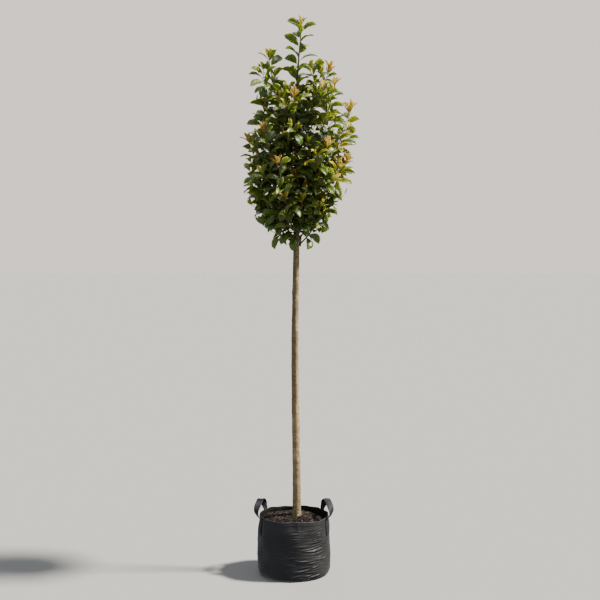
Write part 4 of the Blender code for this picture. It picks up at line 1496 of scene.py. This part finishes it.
def blade_rings(rng, line, width, fold, twist):
    """The blade's sections from its foot to its tip, and the share of its length where each one stands."""
    steps, along, above, slope = line
    bend = rng.uniform(-0.05, 0.05)
    wave = rng.uniform(0.006, 0.020)
    phase = rng.uniform(0, math.tau)
    t = np.linspace(0, 1, STATIONS)
    t[1:-1] += 0.2 / STATIONS * np.sin(t[1:-1] * math.pi)
    where = PETIOLE + (1 - PETIOLE) * t
    x, z, tilt = [np.interp(where, steps, column) for column in (along, above, slope)]
    centre = np.stack([x, bend * where**2, z], axis=-1)
    roll = twist * t
    normal = np.stack([-np.sin(tilt) * np.cos(roll), -np.sin(roll), np.cos(tilt) * np.cos(roll)], axis=-1)
    side = np.stack([-np.sin(tilt) * np.sin(roll), np.cos(roll), np.cos(tilt) * np.sin(roll)], axis=-1)
    half = width / 2 * np.maximum(blade_width(t, rng.random()), 0.012)
    toothed = half * np.where(np.arange(STATIONS) % 2 == 1, 1 - TEETH, 1.0)
    ridge = RIDGE * (1 - 0.75 * t)
    upper = [0, BLADE_LIFT, BLADE_LIFT * 0.6, BLADE_LIFT * 0.6, BLADE_LIFT]
    under = [0, -BLADE_LIFT, -BLADE_LIFT - ridge, -BLADE_LIFT - ridge, -BLADE_LIFT]
    rows = []
    for across, thick in zip(ACROSS, upper + under):
        out = abs(across)
        size = toothed if out == 1 else half
        swell = np.sin(3.2 * math.tau * t + phase + (1.7 if across > 0 else 0)) * np.sin(math.pi * t)
        height = size * fold * (1.35 * out - 0.55 * out**2) + wave * out**2 * swell + thick
        rows.append(centre + side * (size * across)[:, None] + normal * height[:, None])
    return np.stack(rows, axis=1), t


def leaf_form(rng, width, fold, turn, twist):
    """One leaf of unit length: its root at the origin, its tip towards +X, its upper side +Z."""
    line = midrib_line(turn)
    rings, t = blade_rings(rng, line, width, fold, twist)
    size = len(ACROSS)
    points, quads, ends = closed_tube(rings)
    blade_uvs = np.stack([np.repeat(t, size), np.tile((np.array(ACROSS) + 1) / 2, STATIONS)], axis=-1)
    # The under side is cut along the same diagonals as the upper one, so that the two never cross.
    upper = np.tile(np.arange(size) < size // 2, STATIONS - 1)[:, None]
    first = np.where(upper, quads[:, [0, 2, 1]], quads[:, [0, 3, 1]])
    second = np.where(upper, quads[:, [0, 3, 2]], quads[:, [1, 3, 2]])
    slots = np.tile(FACE_SLOTS, (STATIONS - 1) * 2)

    steps, along, above, _ = line
    places = np.linspace(0, PETIOLE * 1.25, 4)
    stalk = [Vector((np.interp(s, steps, along), 0, np.interp(s, steps, above) - 0.001)) for s in places]
    stalk_rings = limb_rings(stalk, np.linspace(0.0125, 0.0095, 4), PETIOLE_SIDES)
    stalk_points, stalk_quads, stalk_ends = closed_tube(stalk_rings)
    tris = np.concatenate([first, second, ends[:, ::-1], stalk_ends + len(points)])
    return LeafForm(
        points=np.concatenate([points, stalk_points]),
        uvs=np.concatenate([blade_uvs, [[0, 0.5], [1, 0.5]], np.full((len(stalk_points), 2), 0.5)]),
        quads=stalk_quads + len(points),
        quad_slots=np.full(len(stalk_quads), RIB),
        tris=tris,
        tri_slots=np.concatenate([slots, np.full(len(tris) - len(slots), RIB)]),
    )


# A kind of leaf: its piece's name, the ranges of its forms' width, fold and turn, and their most twist.
Kind = namedtuple("Kind", "name width fold turn twist")

KINDS = {
    "mature": Kind("leaves_mature", (0.47, 0.55), (0.32, 0.62), (0.9, 1.5), 0.35),
    "green": Kind("leaves_green", (0.45, 0.53), (0.38, 0.70), (0.9, 1.5), 0.30),
    "fresh": Kind("leaves_fresh", (0.40, 0.47), (0.45, 0.80), (0.7, 1.3), 0.25),
    "bronze": Kind("leaves_bronze", (0.30, 0.38), (0.55, 0.90), (0.3, 0.9), 0.30),
}
FORMS_PER_KIND = 14

# Sprays that flushed later than the rest, and so are younger in colour.
SPRAY_YOUTH = {
    "foliage_wide_right": 0.22,
    "foliage_low_right": 0.30,
    "foliage_front_right": 0.16,
    "foliage_high_right": 0.10,
    "foliage_top_right": 0.10,
    "foliage_top_left": 0.06,
    "foliage_leader": 0.10,
    "foliage_wide_left": 0.04,
    "foliage_high_left": 0.06,
}
BRONZE_FROM_Z = 2.02

# A leaf's surfaces, with how deep the veins are in each: three tones of the upper side, the under side and
# the rib. Each kind gives their colour, roughness and coat.
LEAF_TONES = 3
LEAF_SURFACES = (("a", 0.14), ("b", 0.14), ("c", 0.14), ("under", 0.30), ("rib", 0.10))
LEAF_LOOKS = {
    "mature": (
        ((0.035, 0.076, 0.0048), 0.28, 0.45),
        ((0.053, 0.101, 0.0056), 0.32, 0.38),
        ((0.077, 0.124, 0.0064), 0.34, 0.30),
        ((0.120, 0.160, 0.040), 0.55, 0.0),
        ((0.110, 0.130, 0.022), 0.45, 0.0),
    ),
    "green": (
        ((0.069, 0.116, 0.0044), 0.33, 0.20),
        ((0.092, 0.136, 0.0048), 0.36, 0.15),
        ((0.118, 0.152, 0.0052), 0.38, 0.12),
        ((0.140, 0.175, 0.030), 0.60, 0.0),
        ((0.200, 0.205, 0.030), 0.45, 0.0),
    ),
    "fresh": (
        ((0.130, 0.150, 0.0040), 0.38, 0.10),
        ((0.190, 0.182, 0.0050), 0.40, 0.10),
        ((0.265, 0.205, 0.0070), 0.42, 0.08),
        ((0.280, 0.270, 0.025), 0.60, 0.0),
        ((0.400, 0.280, 0.040), 0.45, 0.0),
    ),
    "bronze": (
        ((0.520, 0.200, 0.020), 0.40, 0.10),
        ((0.400, 0.125, 0.014), 0.40, 0.10),
        ((0.560, 0.310, 0.030), 0.42, 0.08),
        ((0.520, 0.235, 0.045), 0.60, 0.0),
        ((0.440, 0.140, 0.040), 0.45, 0.0),
    ),
}


def kind_of(mass, leaf, rng):
    """Which kind a leaf is, by its age, its spray and how far out of the crown it stands."""
    if leaf.tuft:
        main = leaf.root.z > BRONZE_FROM_Z and (leaf.root - mass.limb.points[-1]).length < 0.035
        return "bronze" if main or rng.random() < 0.12 else "fresh"
    outside = (leaf.root - trunk_centre(leaf.root.z)).length / crown_radius(leaf.root.z)
    age = leaf.age * 0.62 + outside * 0.26 + SPRAY_YOUTH.get(mass.name, 0.0) + rng.uniform(-0.13, 0.13)
    if age > 0.86:
        return "fresh"
    return "green" if age > 0.50 else "mature"


def leaf_finishes(kind):
    """The materials of one kind of leaf: its tones, its under side and its ribs."""
    made = []
    for (surface, veins), (colour, roughness, coat) in zip(LEAF_SURFACES, LEAF_LOOKS[kind]):
        made.append(leaf_finish(f"leaf_{kind}_{surface}", colour, roughness, veins, coat))
    return made


def add_leaf(soup, rng, leaf, forms):
    """Sets one of the forms where the leaf is, in one of the tones, if that stays in the object's box."""
    form = rng.choice(forms)
    slots = np.array([rng.randrange(LEAF_TONES), LEAF_TONES, LEAF_TONES + 1])
    side = leaf.along.cross(leaf.up).normalized()
    turn = np.array([leaf.along, -side if rng.random() < 0.5 else side, leaf.up])
    placed = form.points @ turn * leaf.length + np.array(leaf.root)
    if np.any(placed < FRAME_BOUNDS[0]) or np.any(placed > FRAME_BOUNDS[1]):
        return
    order = -1 if np.linalg.det(turn) < 0 else 1
    faces = [form.quads[:, ::order], form.tris[:, ::order]]
    soup.add(placed, faces, [slots[form.quad_slots], slots[form.tri_slots]], form.uvs)


def build_leaves(masses, nodes):
    """The leaves as one joined piece for each kind, each of which stands for these nodes."""
    rng = random.Random(SEED)
    chosen = {kind: [] for kind in KINDS}
    for mass in masses:
        for leaf in mass.leaves:
            chosen[kind_of(mass, leaf, rng)].append(leaf)
    for kind, leaves in chosen.items():
        spec = KINDS[kind]
        ranges = (spec.width, spec.fold, spec.turn, (-spec.twist, spec.twist))
        forms = [leaf_form(rng, *[rng.uniform(*span) for span in ranges]) for _ in range(FORMS_PER_KIND)]
        soup = Soup()
        for leaf in leaves:
            add_leaf(soup, rng, leaf, forms)
        keep(soup.build(spec.name, leaf_finishes(kind)), "foliage", *nodes)


# ---------------------------------------------------------------- putting it together


def keep(obj, slot, *nodes):
    """Makes a piece part of the object: it rides on the one body, and stands for these nodes."""
    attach(obj, "root")
    if nodes:
        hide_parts(*nodes)


def build_plant():
    """The tree: its wood, its twigs and its leaves."""
    bark = bark_finish()
    woody = twig_finish("twig_brown", (0.060, 0.038, 0.022), (0.150, 0.105, 0.060), 0.6)
    olive = twig_finish("shoot_olive", (0.110, 0.090, 0.030), (0.200, 0.165, 0.055), 0.5)
    red = twig_finish("shoot_red", (0.210, 0.080, 0.030), (0.330, 0.140, 0.050), 0.45)
    build_trunk(bark, woody)
    build_boughs(woody, olive, red)
    masses = grow_crown()
    foliage_nodes = [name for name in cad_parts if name.startswith("foliage_")]
    twigs = build_twigs(masses, olive, red)
    keep(twigs, "bark")
    build_leaves(masses, foliage_nodes)
    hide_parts(*foliage_nodes)


def build_pot():
    """The grow bag with its straps, and the compost in it."""
    cloth, lining = fabric_finish(), lining_finish()
    webbing, thread = webbing_finish(), thread_finish()
    build_bag(cloth, lining, thread)
    build_strap("strap_left", -1, webbing, thread)
    build_strap("strap_right", 1, webbing, thread)
    soil = compost_finish("compost_soil", (0.005, 0.003, 0.003), (0.012, 0.008, 0.008))
    dark = compost_finish("compost_dark", (0.005, 0.004, 0.004), (0.014, 0.010, 0.009))
    red = compost_finish("compost_red", (0.012, 0.008, 0.007), (0.031, 0.020, 0.018))
    pale = compost_finish("compost_pale", (0.042, 0.029, 0.024), (0.110, 0.080, 0.068))
    build_compost(soil, [dark, red, pale])


# ---------------------------------------------------------------- floor, light and camera

FLOOR_HALF = 30.0
FLOOR_DROP = 0.0006
AMBIENT = 0.39
BACKDROP = (1.183, 1.088, 0.988)
CAMERA_PLACE = (0.031, -5.502, 1.8026)
CAMERA_TILT = math.radians(85.7)
CAMERA_LENS = 66.0


def build_floor():
    """A plain pale floor, which neither lights the object nor shows in its gloss."""
    made = Finish("stage_floor", (0.348, 0.343, 0.336), 0.9, Specular_IOR_Level=0.0)
    soup = Soup()
    corners = [(FLOOR_HALF * x, FLOOR_HALF * y, 0) for x, y in ((-1, -1), (1, -1), (1, 1), (-1, 1))]
    soup.add(corners, np.array([(0, 1, 2, 3)]))
    floor = soup.build("stage_floor", [made.material], flat=True)
    floor.location.z = -FLOOR_DROP
    floor.visible_diffuse = floor.visible_glossy = False


def build_surround():
    """A faint sky that lights the object, and a pale backdrop that only the camera sees."""
    world = bpy.data.worlds.new("surround")
    world.use_nodes = True
    nodes, links = world.node_tree.nodes, world.node_tree.links
    lit = nodes["Background"]
    lit.inputs["Color"].default_value = (0.86, 0.92, 1.0, 1)
    lit.inputs["Strength"].default_value = AMBIENT
    seen = nodes.new("ShaderNodeBackground")
    seen.inputs["Color"].default_value = (*BACKDROP, 1)
    either = nodes.new("ShaderNodeMixShader")
    links.new(nodes.new("ShaderNodeLightPath").outputs["Is Camera Ray"], either.inputs[0])
    links.new(lit.outputs[0], either.inputs[1])
    links.new(seen.outputs[0], either.inputs[2])
    links.new(either.outputs[0], nodes["World Output"].inputs["Surface"])
    bpy.context.scene.world = world


def add_light(name, azimuth, elevation, strength, softness, colour):
    """A distant soft lamp. Azimuth 0 is the right and 270 the front, and softness is its width in degrees."""
    light = bpy.data.lights.new(name, "SUN")
    light.energy, light.angle, light.color = strength, math.radians(softness), colour
    lamp = bpy.data.objects.new(name, light)
    bpy.context.scene.collection.objects.link(lamp)
    level = math.cos(math.radians(elevation))
    source = polar(level, math.radians(azimuth), math.sin(math.radians(elevation)))
    lamp.rotation_euler = source.to_track_quat("Z", "Y").to_euler()
    lamp.location = source * 6
    return lamp


def add_lights():
    """The sun from the right, weak lights on the shaded sides, and a broad gloss on the leaves."""
    add_light("key", 357, 54, 10.6, 7, (1.0, 0.945, 0.86))
    add_light("fill", 235, 35, 0.25, 60, (0.90, 0.95, 1.0))
    add_light("back", 110, 40, 0.60, 50, (1.0, 0.98, 0.95))
    sheen = add_light("sheen", 300, 58, 3.2, 45, (0.93, 0.97, 1.0))
    sheen.visible_diffuse = False


def add_camera():
    """The view of the photograph: from a little over head height, tilted slightly down."""
    data = bpy.data.cameras.new("camera")
    data.lens, data.sensor_width = CAMERA_LENS, 36.0
    camera = bpy.data.objects.new("camera", data)
    camera.location = CAMERA_PLACE
    camera.rotation_euler = (CAMERA_TILT, 0, 0)
    bpy.context.scene.collection.objects.link(camera)
    bpy.context.scene.camera = camera


build_pot()
build_plant()
build_floor()
build_surround()
add_lights()
add_camera()
